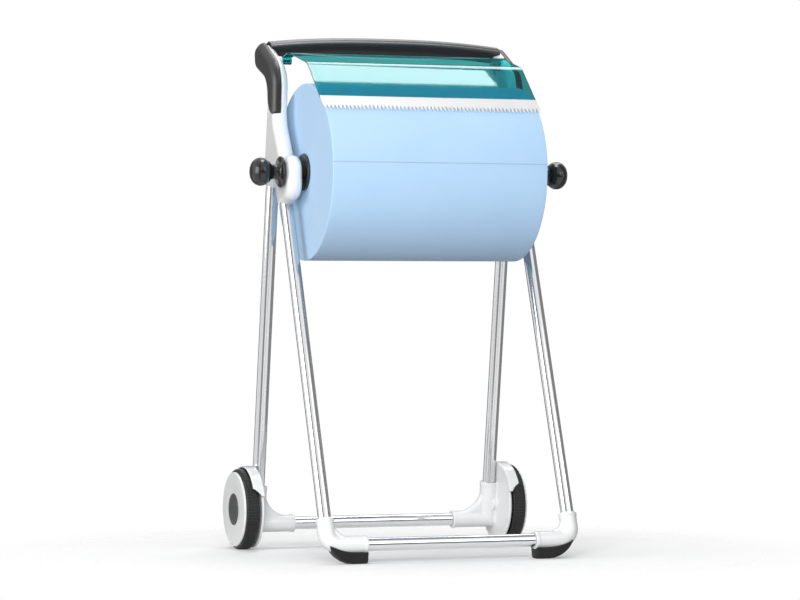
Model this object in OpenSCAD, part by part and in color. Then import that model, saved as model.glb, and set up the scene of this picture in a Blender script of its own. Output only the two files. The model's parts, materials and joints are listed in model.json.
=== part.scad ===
// Floor-standing dispenser for wide wiper rolls.
// A tube stand on two wheels and two rubber feet carries two moulded side arms. The roll's spindle
// lies in open slots of the arms, a hinged lid with a tear bar leans over the roll, and a grip joins
// the arms at the top. Sizes are in millimetres, and angles in degrees.
// X runs across the roll, the front is -Y and Z is up. The origin is on the floor, under the middle.

/* [Roll] */
// Outer diameter of the full roll
roll_d = 340; // [300:2:360]
// Width of the roll
roll_w = 434; // [300:2:480]
// Outer diameter of the cardboard core
core_d = 66; // [60:1:80]
// Wall of the cardboard core
core_wall = 4; // [2:0.5:5]
// Height of the roll's axis above the floor
axis_h = 735; // [690:1:790]

/* [Tube stand] */
// Diameter of the leg and crossbar tubes
tube_d = 25; // [20:0.5:28]
// Wall of the tubes
tube_wall = 1.5; // [1:0.1:2.5]
// Lean of the front legs from the vertical
front_lean = 20.9; // [18:0.1:23]
// Lean of the rear legs from the vertical
rear_lean = 8.75; // [7:0.05:11]
// Distance behind the roll's axis at which the lines of a front and a rear leg meet
apex_back = 94; // [90:1:102]
// Height above the roll's axis at which the lines of a front and a rear leg meet
apex_up = 116; // [110:1:126]
// Height of the front crossbar's axis
front_bar_h = 35; // [32:0.5:42]
// Height of the rear crossbar's axis
rear_bar_h = 48; // [42:0.5:56]
// Wall of a socket round its tube
socket_wall = 4; // [3:0.5:6]
// Radial clearance of a tube in its socket
tube_fit = 0.05; // [0.02:0.01:0.1]

/* [Side arms] */
// Gap between the roll's face and an arm
arm_gap = 12; // [9:0.5:18]
// Wall of an arm beside a leg, across the arm
arm_side_wall = 3; // [2:0.5:6]
// Wall of an arm round a leg, in the arm's plane
arm_wall = 4.5; // [4:0.1:7]
// Depth of the arm's rounded edge, in the arm's plane
arm_round = 14; // [8:0.5:15]
// Drop of the front leg's collar below the roll's axis
front_collar_drop = 66; // [58:1:76]
// Drop of the rear leg's collar below the roll's axis
rear_collar_drop = 26; // [20:1:40]
// Radius of the hub round the spindle
hub_r = 32; // [28:0.5:36]
// Distance of the neck's front edge behind the roll's axis
neck_back = 53; // [48:1:58]
// Depth of the neck from front to rear
neck_d = 54; // [48:1:60]
// Slope of the arm's upper edge
edge_slope = 28.3; // [24:0.1:32]
// Bend radius of the arm's front edge
edge_bend_r = 60; // [40:1:70]

/* [Grip] */
// Distance of the arm's tip behind the lid's hinge
tip_behind_hinge = 50; // [46:1:56]
// Height of the arm's tip above the lid's hinge
tip_above_hinge = 39; // [36:1:44]
// Rise of the grip's middle above its ends
grip_rise = 11.5; // [0:0.5:20]
// Thickness of an ear on the outside of an arm
ear_t = 17; // [15:0.5:22]
// Height of an ear's lower end above the roll's axis
ear_low = 117; // [114:1:126]
// Width of the seam between an ear and its arm
seam = 0.2; // [0.1:0.05:0.4]

/* [Lid and tear bar] */
// Slope of the lid's front panel
panel_slope = 42.9; // [40:0.1:46]
// Length of the lid's front panel
panel_l = 103; // [95:1:111]
// Slope of the lid's top
top_slope = 13.5; // [10:0.1:17]
// Length of the lid's top
top_l = 107; // [100:1:114]
// Bend radius between the lid's top and front panel
lid_bend_r = 45; // [20:1:80]
// Thickness of the lid
lid_t = 2.5; // [2:0.1:3]
// How far the lid stands past each end of the roll
lid_over = 4; // [2:0.5:6]
// Distance of the hinge behind the lid's top
hinge_back = 30; // [26:1:34]
// Drop of the hinge below the lid's rear edge
hinge_drop = 14; // [12:1:16]
// Diameter of a hinge pin
hinge_pin_d = 6; // [4:0.5:8]
// Gap between the full roll and the tear bar
tear_gap = 0.8; // [0.5:0.1:3]
// Thickness of the tear bar
tear_t = 2.6; // [2:0.1:3.4]
// Thickness of the tear bar where it laps over the lid
lap_t = 1.2; // [0.8:0.1:1.5]
// Length of that lap
lap_l = 3; // [2:0.5:8]
// Length of the tear bar below the lid, teeth included
tear_l = 36; // [31:1:41]
// Height of the tear bar's teeth
tooth_h = 14; // [6:1:18]
// Number of the tear bar's teeth
tooth_count = 57; // [30:1:70]

/* [Spindle] */
// Diameter of the journal that turns in an arm's slot
journal_d = 24; // [20:0.5:26]
// Radial clearance of the journal in its slot
journal_fit = 0.06; // [0.02:0.01:0.1]
// Diameter of the spindle rod
rod_d = 14; // [10:0.5:16]
// Diameter of a knob's ball
knob_d = 54; // [44:1:60]
// Length of a knob's ball along the spindle
ball_l = 38; // [34:1:42]
// Diameter of a knob's waist
waist_d = 28; // [24:0.5:32]
// Diameter of a knob's flange
flange_d = 60; // [50:1:64]
// Thickness of a knob's flange
flange_t = 6; // [4:0.5:8]
// Gap between a knob's flange and its arm
knob_gap = 2.5; // [1:0.5:4]
// Distance from a knob's flange to the middle of its ball
knob_reach = 37; // [34:1:42]
// Diameter of a core plug's flange
plug_flange_d = 72; // [70:1:90]
// Thickness of a core plug's flange
plug_flange_t = 5; // [3:0.5:7]
// Depth of a core plug in the core
plug_l = 40; // [20:1:60]

/* [Elbows and feet] */
// Bend radius of a front elbow's axis
elbow_bend = 24; // [20:1:30]
// Length of a front elbow's leg socket above the bend
elbow_leg_l = 27; // [20:1:40]
// Length of a front elbow's crossbar socket past the bend
elbow_bar_l = 52; // [40:1:60]
// Inner radius of a front elbow's web
elbow_web_r = 30; // [20:1:32]
// Depth of a foot from front to rear
foot_d = 36; // [35:0.5:44]
// Height of a foot's inner end
foot_h = 23; // [20:0.5:26]
// Radius of a foot's outer end
foot_toe_r = 52; // [40:1:54]

/* [Wheels and brackets] */
// Diameter of a tyre
wheel_d = 158; // [140:1:166]
// Width of a tyre
tyre_w = 29; // [24:0.5:34]
// Height of a tyre's rubber
tyre_h = 13; // [10:0.5:16]
// Distance of the wheel's axle in front of the rear crossbar
axle_ahead = 17; // [14:0.5:20]
// Diameter of an axle
axle_d = 10; // [8:0.5:12]
// Radial clearance of a wheel on its axle
axle_fit = 0.06; // [0.02:0.01:0.1]
// Diameter of a hub cap
cap_d = 62; // [50:1:70]
// Thickness of a bracket's backing disc
disc_t = 5; // [4:0.5:6]
// Gap between the backing disc and the tyre
disc_gap = 4; // [3:0.5:6]
// Gap between the tyre and the fender
fender_gap = 2.5; // [2:0.5:5]
// Thickness of the fender
fender_t = 3; // [2:0.5:5]
// How far the fender reaches over the tyre
fender_reach = 13; // [8:0.5:18]
// Radius of the bracket's inner fillet
web_r = 50; // [40:1:56]
// Length of the bracket's leg socket above the crossbar's axis
bracket_leg_l = 76; // [70:1:90]
// Length of the bracket's crossbar socket from the leg's axis
bracket_bar_l = 77; // [70:1:90]

/* [Hidden] */
$fn = 64;

// Colours of the finishes
white_plastic = "#f2f3f3";
black_plastic = "#1c1c1e";
black_rubber = "#232323";
grey_plastic = "#6a6a6a";
bright_tube = "#d4d6d8";
steel = "#b4b6b8";
teal_clear = [0.25, 0.75, 0.76, 0.5];
blue_paper = "#b3d6f3";
brown_card = "#b89b74";

// Radii that follow from the diameters
roll_r = roll_d / 2;
tube_r = tube_d / 2;
bore_r = tube_r + tube_fit;
socket_r = tube_r + socket_wall;
wheel_r = wheel_d / 2;
journal_r = journal_d / 2;
hinge_pin_r = hinge_pin_d / 2;
rod_r = rod_d / 2;
axle_r = axle_d / 2;
core_bore_r = core_d / 2 - core_wall;

// Small clearances and lips shared by several pieces
press_fit = 0.02;
slip_fit = 0.05;
end_gap = 0.3;
collar_lip = 0.9;
collar_l = 7;

// Places across the stand
arm_t = tube_d + 2 * arm_side_wall;
arm_in = roll_w / 2 + arm_gap;
arm_out = arm_in + arm_t;
leg_x = (arm_in + arm_out) / 2;
elbow_end_x = leg_x - elbow_bend - elbow_bar_l;
bracket_end_x = leg_x - bracket_bar_l;
disc_in_x = leg_x + socket_r - disc_t + 1;
disc_out_x = disc_in_x + disc_t;
tyre_in_x = disc_out_x + disc_gap;
axle_in_x = disc_in_x - 5;
tyre_out_x = tyre_in_x + tyre_w;

// Places along the stand. The roll's axis is set so that the stand's middle is at Y = 0
apex_z = axis_h + apex_up;
front_bar_back = apex_back - tan(front_lean) * (apex_z - front_bar_h);
rear_bar_back = apex_back + tan(rear_lean) * (apex_z - rear_bar_h);
front_reach = front_bar_back - foot_d / 2;
rear_reach = rear_bar_back - axle_ahead + wheel_r;
axis_y = -(front_reach + rear_reach) / 2;
front_bar_y = axis_y + front_bar_back;
rear_bar_y = axis_y + rear_bar_back;
wheel_y = rear_bar_y - axle_ahead;

// Lid's outline in the YZ plane, measured from the roll's axis
panel_dist = roll_r + tear_gap + tear_t - lap_t;
panel_up = [cos(panel_slope), sin(panel_slope)];
panel_out = [-sin(panel_slope), cos(panel_slope)];
top_up = [cos(top_slope), sin(top_slope)];
top_out = [-sin(top_slope), cos(top_slope)];
lid_clear = 0.6;
lid_end_s = max(19, sqrt(max(0, pow(roll_r + lid_clear, 2) - pow(panel_dist - lid_t, 2))));
tear_tip_s = lid_end_s - tear_l;
lid_end = panel_dist * panel_out + lid_end_s * panel_up;
lid_bend = lid_end + panel_l * panel_up;
lid_rear = lid_bend + top_l * top_up;
hinge = lid_rear + [hinge_back, -hinge_drop];
lid_half_w = roll_w / 2 + lid_over;
lid_lip = 7;
hinge_pin_l = 30;
barrel_r = hinge_pin_r + 4;
barrel_l = 18;
barrel_gap = 0.6;
boss_r = hinge_pin_r + 6;
boss_h = 0.8;

// Places of the arm's tip, neck and waist, measured from the roll's axis
tip = hinge + [tip_behind_hinge, tip_above_hinge];
neck_top = [neck_back, tip[1] - (tip[0] - neck_back) * tan(edge_slope)];
waist = [neck_back + 7, ear_low - 14];
ear_turn = 0.52 * neck_d;
collar_r = tube_r + arm_wall;
front_axis = [sin(front_lean), cos(front_lean)];
front_side = [cos(front_lean), -sin(front_lean)];
rear_axis = [-sin(rear_lean), cos(rear_lean)];
rear_side = [cos(rear_lean), sin(rear_lean)];
front_foot = [apex_back, apex_up] - front_axis * (apex_up + front_collar_drop) / cos(front_lean);
rear_foot = [apex_back, apex_up] - rear_axis * (apex_up + rear_collar_drop) / cos(rear_lean);
slot_r = journal_r + journal_fit;
// Tubes end below the apex, where they would otherwise run into each other
leg_top_z = apex_z - (tube_d + 3) / (tan(front_lean) + tan(rear_lean));

// Screws: heads, shanks and the depth of the seat under a head
screw_head_r = 3.5;
screw_head_h = 2.4;
screw_r = 1.75;
screw_l = 6;
screw_seat = 1.2;
handle_screw_l = 20;
handle_screw_seat = 4;
// Depth of the grip's seat in an arm's inner face
grip_seat = 11;

// Rounded outlines.
// A corner is [u, v, radius], and an inset moves the outline inwards in parallel. A corner with
// a fourth entry [du, dv] is moved by that vector times the inset instead.
corner_steps = 5;
function unit(v) = v / norm(v);
function cross2(a, b) = a[0] * b[1] - a[1] * b[0];
function flat(p) = [p[0], p[1]];
function half_turn(a) = a > 180 ? a - 360 : a < -180 ? a + 360 : a;
function corner_arc(before, at, after, inset, steps = corner_steps) =
    let (p = flat(before), q = flat(at), s = flat(after), r = at[2])
    let (to_p = unit(p - q), to_s = unit(s - q))
    let (half = acos(to_p * to_s) / 2)
    let (centre = q + unit(to_p + to_s) * r / sin(half))
    let (start = q + to_p * r / tan(half) - centre)
    let (end = q + to_s * r / tan(half) - centre)
    let (a0 = atan2(start[1], start[0]))
    let (turn = half_turn(atan2(end[1], end[0]) - a0))
    let (convex = cross2(q - p, s - q) > 0)
    let (slide = len(at) > 3 ? at[3] * inset : [0, 0])
    let (move = len(at) > 3 ? 0 : convex ? -min(inset, 0.9 * r) : inset)
    [for (k = [0:steps])
        let (a = a0 + turn * k / steps)
        centre + slide + (r + move) * [cos(a), sin(a)]];
function outline(corners, inset = 0, steps = corner_steps) =
    let (n = len(corners))
    [for (i = [0:n - 1])
        each corner_arc(corners[(i + n - 1) % n], corners[i], corners[(i + 1) % n], inset, steps)];

// Triangles of a flat outline, by cutting off one ear after the other
function side_of(a, b, p) = cross2(b - a, p - a);
function holds(p, a, b, c) = side_of(a, b, p) > 0 && side_of(b, c, p) > 0 && side_of(c, a, p) > 0;
function is_ear(pts, ids, i) =
    let (n = len(ids), a = pts[ids[(i + n - 1) % n]], b = pts[ids[i]], c = pts[ids[(i + 1) % n]])
    side_of(a, b, c) > 0 && len([for (k = ids) if (holds(pts[k], a, b, c)) k]) == 0;
function ear_at(pts, ids, i) = i >= len(ids) ? 0 : is_ear(pts, ids, i) ? i : ear_at(pts, ids, i + 1);
function cut_ears(pts, ids, done = []) =
    len(ids) == 3 ? concat(done, [ids]) :
    let (n = len(ids), i = ear_at(pts, ids, 0))
    cut_ears(pts, [for (k = [0:n - 1]) if (k != i) ids[k]],
        concat(done, [[ids[(i + n - 1) % n], ids[i], ids[(i + 1) % n]]]));
function triangles(pts) = cut_ears(pts, [for (i = [0:len(pts) - 1]) i]);

// Skin over rings of equal length, closed by flat ends
module skin(rings, lid_faces) {
    n = len(rings[0]);
    last = (len(rings) - 1) * n;
    sides = [for (k = [0:len(rings) - 2], i = [0:n - 1])
        let (a = k * n + i, b = k * n + (i + 1) % n)
        each [[a, a + n, b + n], [a, b + n, b]]];
    bottom = lid_faces;
    top = [for (t = lid_faces) [last + t[2], last + t[1], last + t[0]]];
    polyhedron([for (r = rings) each r], concat(sides, bottom, top));
}

// Plate of a rounded outline between two heights, with an elliptical edge of the given depth.
// The edge is rounded at the low side, the high side or both
edge_steps = 4;
module rounded_plate(corners, low, high, depth, round_low, round_high) {
    middle = round_low && round_high ? (low + high) / 2 : round_low ? high : low;
    down = round_low ? [for (k = [edge_steps:-1:1])
        let (a = 90 * k / edge_steps) [middle - (middle - low) * sin(a), depth * (1 - cos(a))]] : [];
    up = round_high ? [for (k = [1:edge_steps])
        let (a = 90 * k / edge_steps) [middle + (high - middle) * sin(a), depth * (1 - cos(a))]] : [];
    ends = concat(round_low ? [] : [[low, 0]], round_high ? [] : [[high, 0]]);
    centre = round_low && round_high ? [[middle, 0]] : ends;
    layers = concat(down, centre, up);
    rings = [for (l = layers) [for (p = outline(corners, l[1])) [p[0], p[1], l[0]]]];
    skin(rings, triangles(outline(corners, layers[0][1])));
}

// Frames. Local X, Y and Z become world Y, Z and X beside the roll's axis
module beside_axis() {
    translate([0, axis_y, axis_h]) rotate([90, 0, 90]) children();
}
module beside_wheel() {
    translate([0, wheel_y, wheel_r]) rotate([90, 0, 90]) children();
}
module on_front_leg() {
    translate([leg_x, front_bar_y, front_bar_h]) rotate([-front_lean, 0, 0]) children();
}
module on_rear_leg() {
    translate([leg_x, rear_bar_y, rear_bar_h]) rotate([rear_lean, 0, 0]) children();
}
module on_panel() {
    foot = panel_dist * panel_out;
    translate([0, axis_y + foot[0], axis_h + foot[1]]) rotate([panel_slope, 0, 0]) children();
}
module side(sign) {
    mirror([sign < 0 ? 1 : 0, 0, 0]) children();
}
module both_sides() {
    for (sign = [-1, 1]) side(sign) children();
}
module along_x(x0, x1, r) {
    translate([x0, 0, 0]) rotate([0, 90, 0]) cylinder(r = r, h = x1 - x0);
}

// Screws, with the head above Z = 0 and the shank below
module screw(shank_l) {
    translate([0, 0, screw_head_h - 0.8]) cylinder(r1 = screw_head_r, r2 = screw_head_r - 1.2, h = 0.8);
    cylinder(r = screw_head_r, h = screw_head_h - 0.8);
    translate([0, 0, -shank_l]) cylinder(r = screw_r, h = shank_l);
}
module screw_hole(shank_l) {
    cylinder(r = screw_head_r + end_gap, h = 4 * screw_head_h);
    translate([0, 0, -shank_l - end_gap]) cylinder(r = screw_r + slip_fit, h = shank_l + 2 * end_gap);
}
module at_socket_screws() {
    up = [0, 0, socket_r - screw_seat];
    bar_x = [elbow_end_x + 17, bracket_end_x + 17];
    on_front_leg() translate([0, 0, elbow_bend + elbow_leg_l - 12])
        rotate([-90, 0, 0]) translate(up) children();
    on_rear_leg() translate([0, 0, bracket_leg_l - 12]) rotate([-90, 0, 0]) translate(up) children();
    translate([bar_x[0], front_bar_y, front_bar_h]) rotate([-90, 0, 0]) translate(up) children();
    translate([bar_x[1], rear_bar_y, rear_bar_h]) rotate([-90, 0, 0]) translate(up) children();
}
module at_leg_screws() {
    for (p = [front_foot + front_axis * 24, rear_foot + rear_axis * 24])
        translate([arm_in + screw_seat, axis_y + p[0], axis_h + p[1]]) rotate([0, -90, 0]) children();
}
module at_handle_screws() {
    seat_x = arm_in + handle_screw_seat;
    low_screw = [neck_back + neck_d / 2, ear_low + ear_turn];
    top_screw = tip - [0.62 * tip_behind_hinge, 1.08 * tip_above_hinge];
    for (p = [low_screw, top_screw])
        translate([seat_x, axis_y + p[0], axis_h + p[1]]) rotate([0, -90, 0]) children();
}

// Side arms
arm_corners = [
    concat(front_foot - collar_r * front_side, [9]),
    concat(front_foot + collar_r * front_side, [9]),
    [apex_back - 25, 0, 16],
    concat(rear_foot - collar_r * rear_side, [9]),
    concat(rear_foot + collar_r * rear_side, [9]),
    [neck_back + neck_d, ear_low + ear_turn, 80],
    concat(tip + [-8, -48], [16]),
    concat(tip + [4, 4 * tan(edge_slope)], [8]),
    concat(neck_top, [edge_bend_r]),
    concat(waist, [50]),
    [slot_r + 7, hub_r + 3, 10],
    [-hub_r, hub_r, hub_r - 1],
    [-hub_r - 1, -47, 34]
];
ear_tip = [neck_back + 5.6, ear_low];
ear_heel = [neck_back + neck_d - 3, ear_low - 4];
ear_heel_r = 0.59 * neck_d;
ear_rear = [neck_back + neck_d + 1, tip[1] - 1.5 * neck_d];
pocket_top = ear_low + ear_turn + 2;
ear_run = ear_rear - ear_heel;
pocket_rear = ear_heel[0] + ear_run[0] * (pocket_top - ear_heel[1]) / ear_run[1];
// Space on the outside of the arm's top that an ear fills
pocket_corners = [
    [-hub_r, ear_low - seam + 4 * (neck_back + hub_r) / neck_d, 1],
    [ear_heel[0] + seam, ear_heel[1] - seam, ear_heel_r],
    [pocket_rear + 2 * seam, pocket_top, 1],
    [tip[0] + 80, pocket_top + 2, 1],
    [tip[0] + 80, tip[1] + 60, 1],
    [-hub_r, tip[1] + 60, 1]
];
// Section of the grip, which the arm's inner face takes up at each end
grip_corners = [
    concat(tip + [-34, -10], [4]),
    concat(tip + [2, -22], [30]),
    concat(tip + [18, -31], [8]),
    concat(tip + [30, -29], [8]),
    concat(tip + [34, -7], [9]),
    concat(tip + [-4, 3], [22]),
    concat(tip + [-17, -2.5], [4]),
    concat(tip + [-20, -6], [2])
];
module arm(sign) {
    slot_top = 2 * hub_r;
    color(white_plastic) side(sign) difference() {
        union() {
            beside_axis() rounded_plate(arm_corners, arm_in, arm_out, arm_round, true, true);
            beside_axis() translate([hinge[0], hinge[1], arm_in - boss_h])
                cylinder(r = boss_r, h = arm_t / 2);
        }
        beside_axis() translate([0, 0, leg_x]) linear_extrude(arm_t) polygon(outline(pocket_corners));
        beside_axis() translate([0, 0, arm_in - 1]) linear_extrude(arm_t + 2) union() {
            circle(r = slot_r);
            translate([-slot_r, 0]) square([2 * slot_r, slot_top]);
        }
        beside_axis() translate([0, 0, arm_in - 1])
            linear_extrude(grip_seat + 1) polygon(outline(grip_corners, -seam));
        front_leg_solid(bore_r);
        rear_leg_solid(bore_r);
        hinge_pin_solid(hinge_pin_r + press_fit);
        at_leg_screws() screw_hole(screw_l);
        at_handle_screws() screw_hole(handle_screw_l);
    }
}

// Grip across the top with an ear down the outside of each arm
ear_corners = [
    concat(ear_tip, [0.5, [1, 0]]),
    concat(ear_heel, [ear_heel_r, [-1, 0]]),
    concat(ear_rear, [0.74 * neck_d]),
    concat(tip + [28, -50], [22]),
    concat(tip + [34, -10], [20]),
    concat(tip + [2, 2 * tan(edge_slope)], [12]),
    concat(neck_top, [edge_bend_r])
];
bridge_corners = [
    concat(tip + [6, -5], [3]),
    concat(tip + [6, -22], [3]),
    concat(tip + [18, -29.5], [6]),
    concat(tip + [29, -28], [7]),
    concat(tip + [32.5, -8], [6])
];
grip_stations = 14;
module grip() {
    reach = arm_in + grip_seat - end_gap;
    rings = [for (k = [-grip_stations / 2:grip_stations / 2])
        let (t = 2 * k / grip_stations, rise = grip_rise * (1 - pow(abs(t), 2.5)))
        [for (p = outline(grip_corners)) [p[0], p[1] + rise, reach * t]]];
    beside_axis() skin(rings, triangles(outline(grip_corners)));
}
module ear() {
    beside_axis() rounded_plate(ear_corners, leg_x + seam, leg_x + ear_t, arm_round, false, true);
    bridge_x = arm_in + grip_seat - 3;
    beside_axis() translate([0, 0, bridge_x])
        linear_extrude(leg_x + 5 - bridge_x) polygon(outline(bridge_corners));
}
module handle() {
    color(black_plastic) difference() {
        union() {
            grip();
            both_sides() ear();
        }
        both_sides() at_handle_screws() screw_hole(handle_screw_l);
    }
}
module handle_screws() {
    color(steel) both_sides() at_handle_screws() screw(handle_screw_l);
}

// Legs and crossbars. The solids serve as tubes and, made wider, as their sockets' bores
module front_leg_solid(r, extra = 0) {
    low = elbow_bend + end_gap;
    high = (leg_top_z - front_bar_h) / cos(front_lean);
    on_front_leg() translate([0, 0, low - extra]) cylinder(r = r, h = high - low + 2 * extra);
}
module rear_leg_solid(r, extra = 0) {
    low = wheel_r - rear_bar_h + axle_r + 13;
    high = (leg_top_z - rear_bar_h) / cos(rear_lean);
    on_rear_leg() translate([0, 0, low - extra]) cylinder(r = r, h = high - low + 2 * extra);
}
module crossbar_solid(y, z, half, r, extra = 0) {
    translate([0, y, z]) along_x(-half - extra, half + extra, r);
}
module front_leg(sign) {
    color(bright_tube) side(sign) difference() {
        front_leg_solid(tube_r);
        front_leg_solid(tube_r - tube_wall, 1);
        at_leg_screws() screw_hole(screw_l);
        at_socket_screws() screw_hole(screw_l);
    }
}
module rear_leg(sign) {
    color(bright_tube) side(sign) difference() {
        rear_leg_solid(tube_r);
        rear_leg_solid(tube_r - tube_wall, 1);
        at_leg_screws() screw_hole(screw_l);
        at_socket_screws() screw_hole(screw_l);
    }
}
front_bar_half = leg_x - elbow_bend - end_gap;
rear_bar_half = leg_x - socket_r - end_gap;
module front_crossbar() {
    color(bright_tube) difference() {
        crossbar_solid(front_bar_y, front_bar_h, front_bar_half, tube_r);
        crossbar_solid(front_bar_y, front_bar_h, front_bar_half, tube_r - tube_wall, 1);
        both_sides() at_socket_screws() screw_hole(screw_l);
    }
}
module rear_crossbar() {
    color(bright_tube) difference() {
        crossbar_solid(rear_bar_y, rear_bar_h, rear_bar_half, tube_r);
        crossbar_solid(rear_bar_y, rear_bar_h, rear_bar_half, tube_r - tube_wall, 1);
        both_sides() at_socket_screws() screw_hole(screw_l);
    }
}
module leg_screws() {
    color(steel) both_sides() at_leg_screws() screw(screw_l);
}
module socket_screws() {
    color(steel) both_sides() at_socket_screws() screw(screw_l);
}

// Front elbows and their rubber feet
elbow_leg_end = elbow_bend + elbow_leg_l;
elbow_bar_end = elbow_bend + elbow_bar_l;
module elbow_bend_solid(r) {
    on_front_leg() translate([-elbow_bend, 0, elbow_bend]) rotate([90, 0, 0]) rotate([0, 0, -90])
        rotate_extrude(angle = 90) translate([elbow_bend, 0]) circle(r = r);
}
module elbow_bar_solid(r, length, past = 0) {
    on_front_leg() along_x(-elbow_bar_end - past, -elbow_bar_end + length, r);
}
module elbow_web() {
    web_t = 1.2 * socket_r;
    reach = socket_r + elbow_web_r;
    on_front_leg() rotate([90, 0, 0]) translate([0, 0, -web_t / 2]) linear_extrude(web_t) difference() {
        translate([-reach, 0]) square(reach);
        translate([-reach, reach]) circle(r = elbow_web_r + 0.6);
    }
}
module front_elbow(sign) {
    color(white_plastic) side(sign) difference() {
        union() {
            elbow_web();
            elbow_bend_solid(socket_r);
            elbow_bar_solid(socket_r, elbow_bar_l);
            elbow_bar_solid(socket_r + collar_lip, collar_l);
            on_front_leg() translate([0, 0, elbow_bend]) cylinder(r = socket_r, h = elbow_leg_l);
            on_front_leg() translate([0, 0, elbow_leg_end - collar_l])
                cylinder(r = socket_r + collar_lip, h = collar_l);
        }
        front_leg_solid(bore_r);
        crossbar_solid(front_bar_y, front_bar_h, front_bar_half, bore_r);
        at_socket_screws() screw_hole(screw_l);
    }
}
foot_corners = [
    [elbow_end_x, 0, 3],
    [leg_x - 14, 0, foot_toe_r],
    [leg_x + 3, foot_h + 15, 2],
    [leg_x - 40, foot_h, 90],
    [elbow_end_x, foot_h, 1.5]
];
foot_section = [
    [-foot_d / 2, 0, 6],
    [foot_d / 2, 0, 10],
    [foot_d / 2, 2 * foot_h, 4],
    [-foot_d / 2, 2 * foot_h, 4]
];
module foot(sign) {
    color(black_rubber) side(sign) difference() {
        intersection() {
            translate([0, front_bar_y + foot_d / 2, 0]) rotate([90, 0, 0])
                linear_extrude(foot_d) polygon(outline(foot_corners, 0, 12));
            translate([elbow_end_x - 5, front_bar_y, 0]) rotate([90, 0, 90])
                linear_extrude(leg_x) polygon(outline(foot_section, 0, 8));
        }
        elbow_bar_solid(socket_r + slip_fit, elbow_bar_l, foot_d);
        elbow_bend_solid(socket_r + slip_fit);
        elbow_bar_solid(socket_r + collar_lip + slip_fit, collar_l + end_gap, foot_d);
        translate([leg_x - 45, front_bar_y - foot_d, -1]) cube([5, 2 * foot_d, 3.5]);
    }
}

// Rear brackets with the backing disc and the fender
fender_in_r = wheel_r + fender_gap;
fender_out_r = fender_in_r + fender_t;
fender_x = tyre_in_x + fender_reach;
fender_start = 25;
fender_sweep = 135;
module bracket_disc() {
    rim = disc_t / 2 - 0.2;
    rotate_extrude() {
        translate([0, disc_in_x]) square([wheel_r - 3 - rim, disc_t]);
        translate([wheel_r - 3 - rim, disc_in_x + disc_t / 2]) circle(r = rim);
    }
}
module fender() {
    difference() {
        rotate([0, 0, fender_start]) rotate_extrude(angle = fender_sweep) difference() {
            translate([wheel_r - 8, disc_in_x]) square([fender_out_r - wheel_r + 8, fender_x - disc_in_x]);
            translate([wheel_r - 9, disc_out_x]) square([fender_in_r - wheel_r + 9, fender_x]);
        }
        for (a = [fender_start, fender_start + fender_sweep])
            rotate([0, 0, a]) translate([wheel_r - 4, 0, fender_x + 2]) rotate([0, 90, 0])
                cylinder(r = fender_x + 2 - disc_out_x - 1, h = 20);
    }
}
web_side = socket_r - 1;
web_end = web_side + web_r + 3;
web_corners = [
    [0, 0, 1],
    [0, web_end, 1],
    [-web_side, web_end, 1],
    [-web_side, web_side, web_r],
    [-web_end, web_side, 1],
    [-web_end, 0, 1]
];
module bracket_web() {
    web_t = 1.2 * socket_r;
    on_rear_leg() rotate([90, 0, 0]) rounded_plate(web_corners, -web_t / 2, web_t / 2, 6, true, true);
}
knee_lip = 0.8;
module wheel_bracket(sign) {
    color(white_plastic) side(sign) difference() {
        union() {
            on_rear_leg() cylinder(r = socket_r + knee_lip, h = bracket_leg_l);
            on_rear_leg() translate([0, 0, bracket_leg_l - collar_l])
                cylinder(r = socket_r + knee_lip + collar_lip, h = collar_l);
            translate([0, rear_bar_y, rear_bar_h]) along_x(bracket_end_x, disc_in_x + 1, socket_r);
            translate([0, rear_bar_y, rear_bar_h])
                along_x(bracket_end_x, bracket_end_x + collar_l, socket_r + collar_lip);
            bracket_web();
            beside_wheel() bracket_disc();
            beside_wheel() fender();
            beside_wheel() translate([0, 0, axle_in_x - 3])
                cylinder(r = axle_r + 7, h = tyre_in_x - axle_in_x + 2);
        }
        rear_leg_solid(bore_r);
        crossbar_solid(rear_bar_y, rear_bar_h, rear_bar_half, bore_r);
        beside_wheel() translate([0, 0, axle_in_x]) cylinder(r = axle_r + press_fit, h = 60);
        at_socket_screws() screw_hole(screw_l);
    }
}

// Wheels on their axles
plate_x = tyre_out_x - 2;
face_x = tyre_out_x + 2;
cap_x = face_x - 3;
axle_end_x = plate_x - 2;
clip_r = axle_r + 4;
clip_t = 1.2;
pocket_r = clip_r + 2;
rim_r = wheel_r - tyre_h;
module axle(sign) {
    color(steel) side(sign) beside_wheel()
        translate([0, 0, axle_in_x]) cylinder(r = axle_r, h = axle_end_x - axle_in_x);
}
module axle_clip(sign) {
    clip_x = axle_end_x - 3;
    color(steel) side(sign) beside_wheel() translate([0, 0, clip_x]) difference() {
        cylinder(r = clip_r, h = clip_t);
        translate([0, 0, -1]) cylinder(r = axle_r + press_fit, h = 4);
    }
}
module wheel(sign) {
    clip_seat_x = axle_end_x - 3;
    rim_wall = 4;
    color(white_plastic) side(sign) beside_wheel() rotate_extrude() difference() {
        union() {
            translate([0, tyre_in_x - 1]) square([axle_r + 9, plate_x - tyre_in_x + 1]);
            translate([rim_r - rim_wall, tyre_in_x]) square([rim_wall, plate_x - tyre_in_x]);
            translate([0, plate_x - 3]) square([rim_r, 3]);
            translate([0, plate_x]) square([wheel_r - 8, face_x - plate_x]);
            translate([wheel_r - 8, plate_x + 2]) circle(r = 2);
        }
        square([axle_r + axle_fit, 2 * face_x]);
        translate([0, clip_seat_x]) square([pocket_r, face_x]);
        translate([0, cap_x]) square([cap_d / 2 + slip_fit, face_x]);
    }
}
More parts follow.
